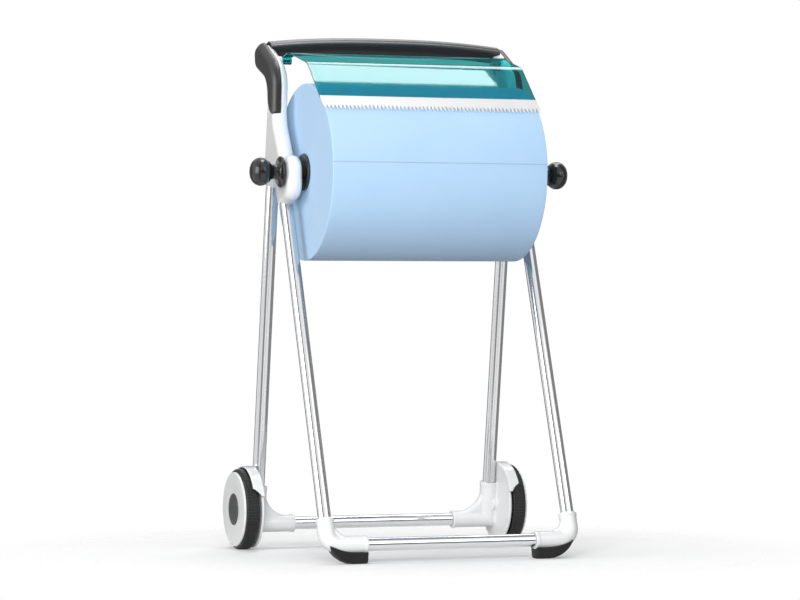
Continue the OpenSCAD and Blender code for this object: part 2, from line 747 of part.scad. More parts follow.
module tyre(sign) {
    shoulder = 6;
    color(black_rubber) side(sign) beside_wheel() rotate_extrude() difference() {
        union() {
            translate([rim_r + slip_fit, tyre_in_x]) square([tyre_h - shoulder - slip_fit, tyre_w - 2.2]);
            translate([rim_r + 1, tyre_in_x + 2]) square([tyre_h - 1, tyre_w - shoulder - 4]);
            translate([wheel_r - shoulder, tyre_in_x + tyre_w - shoulder - 2.2]) circle(r = shoulder);
            translate([wheel_r - shoulder, tyre_in_x + shoulder]) circle(r = shoulder);
        }
        translate([rim_r - 8, tyre_in_x + tyre_w - 2.2]) square([tyre_h + 16, 10]);
    }
}
module hub_cap(sign) {
    bulge = 2;
    color(grey_plastic) side(sign) beside_wheel() rotate_extrude() difference() {
        union() {
            translate([0, cap_x]) square([cap_d / 2, face_x - cap_x]);
            translate([0, face_x]) square([cap_d / 2 - bulge, bulge]);
            translate([cap_d / 2 - bulge, face_x]) circle(r = bulge);
        }
        translate([0, cap_x - 1]) square([pocket_r, 2.5]);
    }
}

// Spindle, roll and knobs. Outlines are [radius, distance along the spindle]
flange_x = arm_out + knob_gap;
ball_x = flange_x + knob_reach + flange_t;
plug_x = roll_w / 2;
journal_x = plug_x + plug_flange_t;
rod_end_x = ball_x - ball_l / 2;
module spindle_rod() {
    color(steel) translate([0, axis_y, axis_h]) along_x(-rod_end_x, rod_end_x, rod_r);
}
module knob(sign) {
    neck_top_x = ball_x - ball_l / 2 + 5;
    neck_x = flange_x + flange_t - 2;
    groove_r = (neck_top_x - neck_x) / 2;
    round_r = flange_t / 2;
    color(black_plastic) side(sign) beside_axis() rotate_extrude() difference() {
        union() {
            translate([0, journal_x]) square([journal_r, flange_x - journal_x + 1]);
            translate([0, flange_x]) square([flange_d / 2 - round_r, flange_t]);
            translate([flange_d / 2 - round_r, flange_x + round_r]) circle(r = round_r);
            difference() {
                translate([0, neck_x]) square([waist_d / 2 + 4, neck_top_x - neck_x]);
                translate([waist_d / 2 + groove_r, (neck_x + neck_top_x) / 2]) circle(r = groove_r);
            }
            translate([0, ball_x - ball_l / 2]) square([(knob_d - ball_l) / 2, ball_l]);
            intersection() {
                translate([(knob_d - ball_l) / 2, ball_x]) circle(r = ball_l / 2);
                translate([0, ball_x - ball_l]) square([knob_d, 2 * ball_l]);
            }
        }
        square([rod_r + slip_fit, rod_end_x + end_gap]);
    }
}
module core_plug(sign) {
    round_r = plug_flange_t / 2 - 0.3;
    body_r = core_bore_r - slip_fit;
    color(black_plastic) side(sign) beside_axis() rotate_extrude() difference() {
        union() {
            translate([0, plug_x]) square([plug_flange_d / 2 - round_r, plug_flange_t]);
            translate([plug_flange_d / 2 - round_r, plug_x + plug_flange_t / 2]) circle(r = round_r);
            translate([0, plug_x - plug_l]) square([body_r, plug_l + 1]);
        }
        square([rod_r + slip_fit, 2 * plug_x]);
        translate([rod_r + 5, plug_x - plug_l - 1]) square([body_r - rod_r - 9, plug_l - 4]);
    }
}
module roll_core() {
    color(brown_card) translate([0, axis_y, axis_h]) difference() {
        along_x(-roll_w / 2, roll_w / 2, core_d / 2);
        along_x(-roll_w, roll_w, core_bore_r);
    }
}
module wiper_roll() {
    color(blue_paper) translate([0, axis_y, axis_h]) difference() {
        along_x(-roll_w / 2, roll_w / 2, roll_r);
        along_x(-roll_w, roll_w, core_d / 2 + slip_fit);
    }
}

// Lid with its hinge, and the tear bar along its front edge
module hinge_pin_solid(r) {
    pin_in_x = arm_in - barrel_l;
    translate([0, axis_y + hinge[0], axis_h + hinge[1]]) along_x(pin_in_x, pin_in_x + hinge_pin_l, r);
}
module lid_sheet() {
    bend_outer = corner_arc(lid_rear, concat(lid_bend, [lid_bend_r]), lid_end, 0, 14);
    bend_inner = corner_arc(lid_rear, concat(lid_bend, [lid_bend_r]), lid_end, lid_t, 14);
    inner_end = lid_end - lid_t * panel_out;
    inner_rear = lid_rear - lid_t * top_out;
    lip_end = lid_rear - lid_lip * top_out;
    inset = -lid_t * top_up;
    inner = [for (k = [len(bend_inner) - 1:-1:0]) bend_inner[k]];
    lip = [inner_rear + inset, lip_end + inset, lip_end];
    polygon(concat([lid_rear], bend_outer, [lid_end, inner_end], inner, lip));
}
module lid() {
    tab_up = unit([hinge_drop - barrel_r, hinge_back]);
    tab_in = lid_rear - lid_t * top_out;
    color(teal_clear) difference() {
        union() {
            beside_axis() translate([0, 0, -lid_half_w]) linear_extrude(2 * lid_half_w) lid_sheet();
            both_sides() beside_axis() translate([0, 0, arm_in - boss_h - barrel_gap - barrel_l]) {
                linear_extrude(barrel_l) polygon([lid_rear, tab_in - 3 * top_up, tab_in,
                    hinge + (barrel_r - lid_t) * tab_up, hinge + barrel_r * tab_up]);
                translate([hinge[0], hinge[1], 0]) cylinder(r = barrel_r, h = barrel_l);
            }
        }
        both_sides() hinge_pin_solid(hinge_pin_r + slip_fit);
    }
}
module hinge_pin(sign) {
    color(steel) side(sign) hinge_pin_solid(hinge_pin_r);
}
module tear_bar() {
    pitch = 2 * lid_half_w / tooth_count;
    root_s = tear_tip_s + tooth_h;
    teeth = [for (i = [0:tooth_count - 1])
        let (start = -lid_half_w + i * pitch)
        each [[start, root_s], [start + pitch / 2, tear_tip_s]]];
    edge = concat(teeth, [[lid_half_w, root_s], [lid_half_w, lid_end_s], [-lid_half_w, lid_end_s]]);
    color(white_plastic) on_panel() {
        translate([0, 0, lap_t - tear_t]) linear_extrude(tear_t) polygon(edge);
        translate([-lid_half_w, lid_end_s - 1, 0]) cube([2 * lid_half_w, lap_l + 1, lap_t]);
    }
}

arm(-1);  // arm_left
arm(1);  // arm_right
handle();
handle_screws();
front_leg(-1);  // front_leg_left
front_leg(1);  // front_leg_right
rear_leg(-1);  // rear_leg_left
rear_leg(1);  // rear_leg_right
front_crossbar();
rear_crossbar();
leg_screws();
socket_screws();
front_elbow(-1);  // front_elbow_left
front_elbow(1);  // front_elbow_right
foot(-1);  // foot_left
foot(1);  // foot_right
wheel_bracket(-1);  // wheel_bracket_left
wheel_bracket(1);  // wheel_bracket_right
axle(-1);  // axle_left
axle(1);  // axle_right
axle_clip(-1);  // axle_clip_left
axle_clip(1);  // axle_clip_right
wheel(-1);  // wheel_left
wheel(1);  // wheel_right
tyre(-1);  // tyre_left
tyre(1);  // tyre_right
hub_cap(-1);  // hub_cap_left
hub_cap(1);  // hub_cap_right
spindle_rod();
knob(-1);  // knob_left
knob(1);  // knob_right
core_plug(-1);  // core_plug_left
core_plug(1);  // core_plug_right
roll_core();
wiper_roll();
lid();
tear_bar();
hinge_pin(-1);  // hinge_pin_left
hinge_pin(1);  // hinge_pin_right
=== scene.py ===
import json
import math
import bmesh
import bpy
import numpy as np
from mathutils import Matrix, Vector


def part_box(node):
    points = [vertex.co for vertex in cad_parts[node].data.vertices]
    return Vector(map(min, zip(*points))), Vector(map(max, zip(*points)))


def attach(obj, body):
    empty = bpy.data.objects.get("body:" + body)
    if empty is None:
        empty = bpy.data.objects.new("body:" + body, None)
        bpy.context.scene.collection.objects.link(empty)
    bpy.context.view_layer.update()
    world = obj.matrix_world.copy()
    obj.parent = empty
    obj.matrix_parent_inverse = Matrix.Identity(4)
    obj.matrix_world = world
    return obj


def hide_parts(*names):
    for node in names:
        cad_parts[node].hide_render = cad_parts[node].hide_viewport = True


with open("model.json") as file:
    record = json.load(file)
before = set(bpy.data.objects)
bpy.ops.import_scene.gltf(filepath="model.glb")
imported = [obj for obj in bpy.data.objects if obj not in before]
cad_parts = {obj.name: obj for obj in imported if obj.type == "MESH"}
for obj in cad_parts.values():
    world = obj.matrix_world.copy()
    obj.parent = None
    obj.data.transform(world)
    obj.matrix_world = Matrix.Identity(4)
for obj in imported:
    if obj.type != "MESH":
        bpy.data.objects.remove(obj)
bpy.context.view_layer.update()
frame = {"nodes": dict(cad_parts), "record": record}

nodes = frame["nodes"]
jointAt = {j["name"]: 1000 * np.array(j["pos_m"]) for j in frame["record"]["behaviour"]["joints"]}
mm = 0.001  # shapes below are worked out in millimetres
sides = ((1, "right"), (-1, "left"))
scene = bpy.context.scene
scene.view_settings.view_transform = "Standard"


# node helpers: a plain value is set on the socket, another node's output is linked to it

def fill(tree, socket, value):
    if isinstance(value, (int, float, tuple)):
        socket.default_value = value
    elif value is not None:
        tree.links.new(value, socket)


def mathNode(tree, operation, first, second=None):
    node = tree.nodes.new("ShaderNodeMath")
    node.operation = operation
    for socket, value in zip(node.inputs, (first, second)):
        fill(tree, socket, value)
    return node.outputs[0]


def rangeNode(tree, value, fromLow=0.0, fromHigh=1.0, toLow=0.0, toHigh=1.0):
    node = tree.nodes.new("ShaderNodeMapRange")
    labels = ("Value", "From Min", "From Max", "To Min", "To Max")
    for label, entry in zip(labels, (value, fromLow, fromHigh, toLow, toHigh)):
        fill(tree, node.inputs[label], entry)
    return node.outputs["Result"]


def mixColour(tree, factor, first, second):
    node = tree.nodes.new("ShaderNodeMix")
    node.data_type = "RGBA"
    for label, value in zip(("Factor", "A", "B"), (factor, first, second)):
        fill(tree, node.inputs[label], value)
    return node.outputs["Result"]


def mixShader(tree, factor, first, second):
    node = tree.nodes.new("ShaderNodeMixShader")
    for socket, entry in zip(node.inputs, (factor, first, second)):
        fill(tree, socket, entry)
    return node.outputs[0]


def grey(level):
    return (level, level, level, 1)


# camera, light and floor

view = dict(place=(-2.26105, -6.13021, 0.49020), aim=(-0.02053, -0.01750, 0.49013), lens=151.16)

cameraData = bpy.data.cameras.new("photoCamera")
cameraData.lens = view["lens"]
cameraData.sensor_width = 36
cameraData.clip_end = 60
camera = bpy.data.objects.new("photoCamera", cameraData)
camera.location = view["place"]
camera.rotation_euler = (Vector(view["aim"]) - camera.location).to_track_quat("-Z", "Y").to_euler()
scene.collection.objects.link(camera)
scene.camera = camera


def softBox(name, place, aim, width, height, watts):
    lamp = bpy.data.lights.new(name, "AREA")
    lamp.shape = "RECTANGLE"
    lamp.size, lamp.size_y = width, height
    lamp.energy = watts
    obj = bpy.data.objects.new(name, lamp)
    obj.location = place
    obj.rotation_euler = (Vector(aim) - Vector(place)).to_track_quat("-Z", "Y").to_euler()
    scene.collection.objects.link(obj)
    return obj


def stagePiece(name, points):
    mesh = bpy.data.meshes.new(name)
    mesh.from_pydata(points, [], [list(range(len(points)))])
    obj = bpy.data.objects.new(name, mesh)
    scene.collection.objects.link(obj)
    material = bpy.data.materials.new(name)
    material.use_nodes = True
    mesh.materials.append(material)
    return material.node_tree, material.node_tree.nodes["Principled BSDF"].inputs


studio = dict(overhead=14, card=6.9, backStrip=14, keyBox=50, leftFill=44, frontBox=6, rightStrip=6, worldLight=0.27,
              seenThrough=0.5, horizonDark=0.9, backSky=0.8, floorWhite=0.96, bounce=0.5, floorLift=0.05,
              fadeFrom=0.25, fadeTo=0.85)
softBox("overheadBox", (0.0, 0.1, 3.0), (0.0, 0.1, 0.5), 0.9, 0.9, studio["overhead"])
softBox("backStrip", (0.82, 1.42, 2.75), (0, 0, 0.95), 1.5, 1.0, studio["backStrip"])
keyBox = softBox("keyBox", (-1.15, -2.4, 1.0), (0, 0, 0.65), 0.9, 1.1, studio["keyBox"])
keyBox.visible_glossy = False
softBox("leftFill", (-2.9, -0.7, 1.2), (0, 0, 0.6), 2.2, 2.0, studio["leftFill"])
softBox("frontBox", (0.85, -2.5, 1.45), (0, 0, 0.3), 1.0, 1.5, studio["frontBox"])
softBox("rightStrip", (2.5, -2.3, 1.2), (0, 0, 0.6), 0.45, 1.8, studio["rightStrip"])

# Bright card overhead: its straight front edge and slanted right edge show in the lid's front panel
cardCorners = [(0.0, 0.86, 3), (0.463, 0.86, 3), (0.998, 0.209, 3), (0.0, 0.209, 3)]
cardInputs = stagePiece("brightCard", cardCorners)[1]
cardInputs["Emission Color"].default_value = grey(1)
cardInputs["Emission Strength"].default_value = studio["card"]

# The world is white to the camera. Glossy rays see tall grey and white panels round the horizon by azimuth,
# a lighter sky high at the back and a dark line along the horizon in front
world = bpy.data.worlds.new("studio")
scene.world = world
world.use_nodes = True
sky = world.node_tree
sky.nodes.clear()


def background(colour, strength):
    node = sky.nodes.new("ShaderNodeBackground")
    fill(sky, node.inputs["Color"], colour)
    fill(sky, node.inputs["Strength"], strength)
    return node.outputs[0]


path = sky.nodes.new("ShaderNodeLightPath")
split = sky.nodes.new("ShaderNodeSeparateXYZ")
sky.links.new(sky.nodes.new("ShaderNodeTexCoord").outputs["Generated"], split.inputs[0])
towardX, towardY, towardZ = split.outputs
panelStops = [(0.0, 0.93), (0.03, 1.0), (0.07, 1.0), (0.09, 0.30), (0.155, 0.30), (0.175, 0.86), (0.39, 0.88),
              (0.42, 0.12), (0.465, 0.14), (0.485, 0.55), (0.515, 0.55), (0.535, 0.05), (0.60, 0.05), (0.64, 0.28),
              (0.70, 0.28), (0.715, 0.26), (0.85, 0.26), (0.875, 1.0), (0.96, 1.0), (1.0, 0.93)]
panels = sky.nodes.new("ShaderNodeValToRGB")
ramp = panels.color_ramp
while len(ramp.elements) < len(panelStops):
    ramp.elements.new(0.5)
for element, (at, level) in zip(ramp.elements, panelStops):
    element.position = at
    element.color = (level, level, level * 1.01, 1)
sky.links.new(rangeNode(sky, mathNode(sky, "ARCTAN2", towardX, towardY), -math.pi, math.pi), panels.inputs["Fac"])
backPart = mathNode(sky, "MULTIPLY", rangeNode(sky, towardY, 0.25, 0.40), rangeNode(sky, towardZ, 0.42, 0.52))
darkPart = mathNode(sky, "MULTIPLY", rangeNode(sky, towardY, -0.75, -0.92),
                    rangeNode(sky, mathNode(sky, "ABSOLUTE", towardZ), 0.27, 0.19))
seenByGloss = background(mixColour(sky, backPart, panels.outputs["Color"], grey(studio["backSky"])),
                         rangeNode(sky, darkPart, toLow=1.0, toHigh=1.0 - studio["horizonDark"]))
whiteBack = background(grey(1), rangeNode(sky, path.outputs["Is Camera Ray"], toLow=studio["seenThrough"]))
clearRay = mathNode(sky, "MAXIMUM", path.outputs["Is Camera Ray"], path.outputs["Is Transmission Ray"])
glossMix = mixShader(sky, path.outputs["Is Glossy Ray"], background(None, studio["worldLight"]), seenByGloss)
worldOut = sky.nodes.new("ShaderNodeOutputWorld")
sky.links.new(mixShader(sky, clearRay, glossMix, whiteBack), worldOut.inputs[0])

# Floor: a white sheet that fades into the white background with the distance from the stand. It is greyer to
# diffuse rays, so that less light comes up under the roll
floorTree, floorInputs = stagePiece("floor", [(-5, -5, 0), (5, -5, 0), (5, 5, 0), (-5, 5, 0)])
floorInputs["Roughness"].default_value = 0.7
floorInputs["Specular IOR Level"].default_value = 0.1
floorInputs["Emission Color"].default_value = grey(1)
floorInputs["Emission Strength"].default_value = studio["floorLift"]
floorPath = floorTree.nodes.new("ShaderNodeLightPath")
floorTree.links.new(mixColour(floorTree, floorPath.outputs["Is Diffuse Ray"], grey(studio["floorWhite"]),
                              grey(studio["bounce"])), floorInputs["Base Color"])
fadeLength = floorTree.nodes.new("ShaderNodeVectorMath")
fadeLength.operation = "LENGTH"
floorTree.links.new(floorTree.nodes.new("ShaderNodeTexCoord").outputs["Object"], fadeLength.inputs[0])
floorTree.links.new(rangeNode(floorTree, fadeLength.outputs["Value"], studio["fadeFrom"], studio["fadeTo"], 1.0, 0.0),
                    floorInputs["Alpha"])
print("stage: camera, lamps, world and floor")


# finishes

def nodeGroup(name, inputs, outputs):
    group = bpy.data.node_groups.new(name, "ShaderNodeTree")
    for kind, label, value in inputs:
        socket = group.interface.new_socket(label, in_out="INPUT", socket_type="NodeSocket" + kind)
        if value is not None:
            socket.default_value = value
    for kind, label in outputs:
        group.interface.new_socket(label, in_out="OUTPUT", socket_type="NodeSocket" + kind)
    return group, group.nodes.new("NodeGroupInput").outputs, group.nodes.new("NodeGroupOutput").inputs


# Moulded skin: slow cloudy change of roughness plus a fine grain as height, both on Object coordinates
skinGroup, skinIn, skinOut = nodeGroup("mouldedSkin",
    [("Vector", "Place", None), ("Float", "Cloud Scale", 14.0), ("Float", "Grain Scale", 900.0),
     ("Float", "Rough Low", 0.2), ("Float", "Rough High", 0.3)],
    [("Float", "Roughness"), ("Float", "Height"), ("Float", "Cloud")])


def skinNoise(scale, detail):
    noise = skinGroup.nodes.new("ShaderNodeTexNoise")
    noise.inputs["Detail"].default_value = detail
    fill(skinGroup, noise.inputs["Vector"], skinIn["Place"])
    fill(skinGroup, noise.inputs["Scale"], skinIn[scale])
    return noise.outputs["Fac"]


cloud = skinNoise("Cloud Scale", 4)
fill(skinGroup, skinOut["Roughness"], rangeNode(skinGroup, cloud, 0.3, 0.7, skinIn["Rough Low"], skinIn["Rough High"]))
fill(skinGroup, skinOut["Height"], skinNoise("Grain Scale", 2))
fill(skinGroup, skinOut["Cloud"], cloud)

# Soft tint: the base colour darkened a little where a slow noise is low
tintGroup, tintIn, tintOut = nodeGroup("slowTint",
    [("Color", "Colour", grey(1)), ("Color", "Shade", grey(0.9)), ("Float", "Cloud", 0.5)], [("Color", "Colour")])
tinted = mixColour(tintGroup, rangeNode(tintGroup, tintIn["Cloud"], 0.35, 0.65), tintIn["Shade"], tintIn["Colour"])
fill(tintGroup, tintOut["Colour"], tinted)


def grouped(tree, group, **values):
    node = tree.nodes.new("ShaderNodeGroup")
    node.node_tree = group
    for label, value in values.items():
        fill(tree, node.inputs[label.replace("_", " ")], value)
    return node


def finish(name, colour, shade, roughLow, roughHigh, grainScale=900.0, grainHeight=0.02, cloudScale=14.0,
           stretch=(1, 1, 1), **plain):
    mat = bpy.data.materials.new(name)
    mat.use_nodes = True
    tree = mat.node_tree
    shader = tree.nodes["Principled BSDF"].inputs
    for label, value in plain.items():
        shader[label.replace("_", " ")].default_value = value
    place = tree.nodes.new("ShaderNodeMapping")
    place.inputs["Scale"].default_value = stretch
    tree.links.new(tree.nodes.new("ShaderNodeTexCoord").outputs["Object"], place.inputs["Vector"])
    skin = grouped(tree, skinGroup, Cloud_Scale=cloudScale, Grain_Scale=grainScale, Rough_Low=roughLow,
                   Rough_High=roughHigh, Place=place.outputs["Vector"]).outputs
    tint = grouped(tree, tintGroup, Colour=(*colour, 1), Shade=(*shade, 1), Cloud=skin["Cloud"])
    tree.links.new(tint.outputs["Colour"], shader["Base Color"])
    tree.links.new(skin["Roughness"], shader["Roughness"])
    bump = tree.nodes.new("ShaderNodeBump")
    bump.inputs["Strength"].default_value = 0.25
    bump.inputs["Distance"].default_value = grainHeight * mm
    tree.links.new(skin["Height"], bump.inputs["Height"])
    tree.links.new(bump.outputs["Normal"], shader["Normal"])
    mat.diffuse_color = (*colour, 1)
    return mat


whitePlastic = finish("whiteMoulding", (0.84, 0.845, 0.845), (0.81, 0.815, 0.82), 0.17, 0.25, Coat_Weight=0.25,
                      Coat_Roughness=0.06)
# Painted shade: the tear bar gets a darker copy of the white moulding, so that it reads less bright under the strong
# light falling on it
shadedBarPlastic = finish("barMoulding", (0.74, 0.74, 0.745), (0.71, 0.71, 0.715), 0.2, 0.28)
wheelPlastic = finish("wheelMoulding", (0.86, 0.865, 0.865), (0.83, 0.835, 0.84), 0.28, 0.38)
blackPlastic = finish("blackMoulding", (0.012, 0.012, 0.013), (0.016, 0.016, 0.017), 0.14, 0.22, Coat_Weight=0.35,
                      Coat_Roughness=0.05)
gripPlastic = finish("gripMoulding", (0.010, 0.010, 0.011), (0.014, 0.014, 0.015), 0.34, 0.42, Specular_IOR_Level=0.85)
footRubber = finish("footRubber", (0.012, 0.012, 0.012), (0.02, 0.02, 0.02), 0.45, 0.6, grainScale=1500,
                    grainHeight=0.06, Specular_IOR_Level=0.25)
tyreRubber = finish("tyreRubber", (0.013, 0.013, 0.013), (0.022, 0.022, 0.022), 0.24, 0.32, grainScale=1400,
                    grainHeight=0.02, Specular_IOR_Level=0.3)
capPlastic = finish("capMoulding", (0.068, 0.068, 0.07), (0.06, 0.06, 0.062), 0.35, 0.45)
steelFinish = finish("brightSteel", (0.58, 0.59, 0.60), (0.5, 0.51, 0.52), 0.2, 0.32, Metallic=1.0)
cardFinish = finish("cardTube", (0.46, 0.33, 0.2), (0.4, 0.28, 0.17), 0.7, 0.85, grainScale=400, grainHeight=0.1)
legTube, barTube = (finish(name, (0.80, 0.805, 0.81), (0.76, 0.765, 0.77), 0.10, 0.15, grainScale=700,
                           grainHeight=0.002, stretch=stretch, Metallic=1.0)
                    for name, stretch in (("legTube", (1, 1, 0.02)), ("barTube", (0.02, 1, 1))))

# See-through lid: tinted transmission, a tinted shadow so that the roll below keeps its light, and, where the surface
# faces up or sideways along the roll, no gloss coat and a lighter teal that is painted light
lidFinish = finish("tealClear", (0.03, 0.46, 0.49), (0.03, 0.45, 0.48), 0.02, 0.04, grainHeight=0.0005, cloudScale=5,
                   Transmission_Weight=1.0, IOR=1.12, Coat_Weight=1.0, Coat_Roughness=0.02)
lidTree = lidFinish.node_tree
lidShader = lidTree.nodes["Principled BSDF"]
lidAxes = lidTree.nodes.new("ShaderNodeSeparateXYZ")
lidTree.links.new(lidTree.nodes.new("ShaderNodeTexCoord").outputs["Normal"], lidAxes.inputs[0])
facing = mathNode(lidTree, "MAXIMUM", mathNode(lidTree, "ABSOLUTE", lidAxes.outputs["X"]), lidAxes.outputs["Z"])
flatTop = rangeNode(lidTree, facing, 0.90, 0.95)
lidTree.links.new(rangeNode(lidTree, flatTop, toLow=1.0, toHigh=0.0), lidShader.inputs["Coat Weight"])
sheetTint = lidShader.inputs["Base Color"].links[0].from_socket
# Painted light: the up-facing parts of the sheet get a lighter teal, standing in for light shining through from behind
lidTree.links.new(mixColour(lidTree, flatTop, sheetTint, (0.12, 0.98, 0.96, 1)), lidShader.inputs["Base Color"])
letThrough = lidTree.nodes.new("ShaderNodeBsdfTransparent")
letThrough.inputs["Color"].default_value = (0.005, 0.5, 0.52, 1)
lidPath = lidTree.nodes.new("ShaderNodeLightPath")
lidTree.links.new(mixShader(lidTree, lidPath.outputs["Is Shadow Ray"], lidShader.outputs[0], letThrough.outputs[0]),
                  lidTree.nodes["Material Output"].inputs["Surface"])
lidEdge = finish("tealEdge", (0.03, 0.20, 0.21), (0.025, 0.18, 0.19), 0.1, 0.16)

# Wound paper: a crossed emboss on the outside, fine rings on the ends and a painted shadow line where the sheet ends.
# The piece's own attribute holds (along the axis, arc length, radius) in metres
woundGroup, woundIn, woundOut = nodeGroup("woundPaper",
    [("Vector", "Wound", None), ("Float", "Sheet End", 0.0), ("Float", "Outside", 0.166),
     ("Float", "Emboss Pitch", 1100.0), ("Float", "Ring Pitch", 2600.0),
     ("Float", "Line Half Width", 0.0009), ("Float", "Line Shade", 0.22)],
    [("Float", "Height"), ("Float", "Shade")])


def woundMath(operation, first, second=None):
    return mathNode(woundGroup, operation, first, second)


part = woundGroup.nodes.new("ShaderNodeSeparateXYZ")
woundGroup.links.new(woundIn["Wound"], part.inputs[0])
alongRoll, roundRoll, fromCentre = part.outputs
waves = [woundMath("SINE", woundMath("MULTIPLY", woundMath(way, alongRoll, roundRoll), woundIn["Emboss Pitch"]))
         for way in ("ADD", "SUBTRACT")]
outside = woundMath("GREATER_THAN", fromCentre, woundIn["Outside"])
inside = woundMath("SUBTRACT", 1.0, outside)
rings = woundGroup.nodes.new("ShaderNodeTexNoise")
rings.noise_dimensions = "1D"
rings.inputs["Scale"].default_value = 1.0
woundGroup.links.new(woundMath("MULTIPLY", fromCentre, woundIn["Ring Pitch"]), rings.inputs["W"])
height = woundMath("ADD", woundMath("MULTIPLY", woundMath("MULTIPLY", *waves), outside),
                   woundMath("MULTIPLY", rings.outputs["Fac"], woundMath("MULTIPLY", inside, 3.0)))
fromEnd = woundMath("ABSOLUTE", woundMath("SUBTRACT", roundRoll, woundIn["Sheet End"]))
# Painted shadow: a thin darker line on the outside where the sheet ends, standing in for the shade in the step there
nearEnd = woundMath("MULTIPLY", woundMath("LESS_THAN", fromEnd, woundIn["Line Half Width"]), outside)
ringShade = woundMath("MULTIPLY", woundMath("MULTIPLY", rings.outputs["Fac"], inside), 0.08)
paintedEndShadow = woundMath("MULTIPLY", nearEnd, woundIn["Line Shade"])
shade = woundMath("SUBTRACT", woundMath("SUBTRACT", 1.0, ringShade), paintedEndShadow)
woundGroup.links.new(height, woundOut["Height"])
woundGroup.links.new(shade, woundOut["Shade"])

paper = finish("wiperPaper", (0.465, 0.675, 0.915), (0.445, 0.66, 0.905), 0.8, 0.92, grainScale=1100, grainHeight=0.2,
               cloudScale=9, Sheen_Weight=0.2, Sheen_Roughness=0.5, Specular_IOR_Level=0.2)
paperTree = paper.node_tree
paperShader = paperTree.nodes["Principled BSDF"].inputs
woundAt = paperTree.nodes.new("ShaderNodeAttribute")
woundAt.attribute_name = "wound"
woundSkin = grouped(paperTree, woundGroup, Wound=woundAt.outputs["Vector"])
shaded = paperTree.nodes.new("ShaderNodeVectorMath")
shaded.operation = "SCALE"
paperTree.links.new(paperShader["Base Color"].links[0].from_socket, shaded.inputs[0])
paperTree.links.new(woundSkin.outputs["Shade"], shaded.inputs["Scale"])
paperTree.links.new(shaded.outputs[0], paperShader["Base Color"])
embossBump = paperTree.nodes.new("ShaderNodeBump")
embossBump.inputs["Strength"].default_value = 0.5
embossBump.inputs["Distance"].default_value = 0.08 * mm
paperTree.links.new(paperShader["Normal"].links[0].from_socket, embossBump.inputs["Normal"])
paperTree.links.new(woundSkin.outputs["Height"], embossBump.inputs["Height"])
paperTree.links.new(embossBump.outputs["Normal"], paperShader["Normal"])
print("stage: finishes")


# shapes

# Rounded outline: each corner [u, v, radius] becomes an arc that touches both sides; an inset shrinks
# outer corners and grows inner ones about the same centres. A corner's fourth entry slides it instead
def roundedOutline(corners, inset=0.0, steps=14):
    count = len(corners)
    arcs = []
    for i in range(count):
        p, q, s = (np.array(corners[(i + k) % count][:2], float) for k in (-1, 0, 1))
        radius = corners[i][2]
        toP, toS = (p - q) / np.linalg.norm(p - q), (s - q) / np.linalg.norm(s - q)
        half = math.acos(np.clip(toP @ toS, -1, 1)) / 2
        centre = q + (toP + toS) / np.linalg.norm(toP + toS) * radius / math.sin(half)
        first = q + toP * radius / math.tan(half) - centre
        last = q + toS * radius / math.tan(half) - centre
        start = math.atan2(first[1], first[0])
        turn = (math.atan2(last[1], last[0]) - start + math.pi) % (2 * math.pi) - math.pi
        outer = np.cross(q - p, s - q) > 0
        slide = np.array(corners[i][3]) * inset if len(corners[i]) > 3 else np.zeros(2)
        grow = 0 if len(corners[i]) > 3 else (-min(inset, 0.9 * radius) if outer else inset)
        angle = start + turn * np.linspace(0, 1, steps + 1)
        arcs.append(centre + slide + (radius + grow) * np.stack([np.cos(angle), np.sin(angle)], 1))
    return np.concatenate(arcs)


# Faces of a grid of closed rows, with the last row joined to the first if joinRows says so
def gridFaces(rows, columns, joinRows=False):
    i = np.arange(rows if joinRows else rows - 1)[:, None]
    j = np.arange(columns)[None, :]
    a, b = i * columns + j, i * columns + (j + 1) % columns
    up = ((i + 1) % rows) * columns
    return np.stack([a, b, up + (j + 1) % columns, up + j + 0 * i], -1).reshape(-1, 4).tolist()


# Skin over rings of equal length with flat ends
def ringSkin(rings):
    rows, columns = rings.shape[:2]
    faces = gridFaces(rows, columns)
    faces.append(list(range(columns))[::-1])
    faces.append(list(range((rows - 1) * columns, rows * columns)))
    return rings.reshape(-1, 3), faces


# Plate across X: the outline in YZ, with an elliptical edge at the high face and, if wished, at the low one
def roundedPlate(corners, low, high, depth, roundLow=True):
    middle = (low + high) / 2 if roundLow else low
    a = np.linspace(0, np.pi / 2, 11)[1:]
    out, sunk = np.sin(a), depth * (1 - np.cos(a))
    layers = [*zip(middle - (middle - low) * out, sunk)][::-1] if roundLow else []
    layers += [(middle, 0), *zip(middle + (high - middle) * out, sunk)]
    outlines = [(x, roundedOutline(corners, inset)) for x, inset in layers]
    return ringSkin(np.stack([np.column_stack([np.full(len(o), x), o]) for x, o in outlines]))


# Straight rod of radius r between two points
def rod(p0, p1, r, around=48):
    p0, p1 = np.array(p0, float), np.array(p1, float)
    w = (p1 - p0) / np.linalg.norm(p1 - p0)
    u = np.cross(w, [0, 0, 1.0] if abs(w[2]) < 0.9 else [0, 1.0, 0])
    u /= np.linalg.norm(u)
    v = np.cross(w, u)
    t = np.linspace(0, 2 * np.pi, around, endpoint=False)[:, None]
    circle = r * (np.cos(t) * u + np.sin(t) * v)
    return ringSkin(np.stack([p0 + circle, p1 + circle]))


# Straight rod along X through (y, z)
def rodX(x0, x1, at, r, around=48):
    return rod([x0, *at], [x1, *at], r, around)


# Points at x and radius r carried by an angle round the line along X through (y, z)
def aroundX(x, r, angle, at):
    y, z = at[0] + r * np.cos(angle), at[1] + r * np.sin(angle)
    return np.stack([np.broadcast_to(x, y.shape), y, z], -1)


# Turned piece about X: the outline in (x, radius) carried round the axis at (y, z)
def turned(outline, at, around=128):
    t = np.linspace(0, 2 * np.pi, around, endpoint=False)[:, None]
    grid = aroundX(outline[:, 0], outline[:, 1], t, at)
    return grid.reshape(-1, 3), gridFaces(around, len(outline), True)


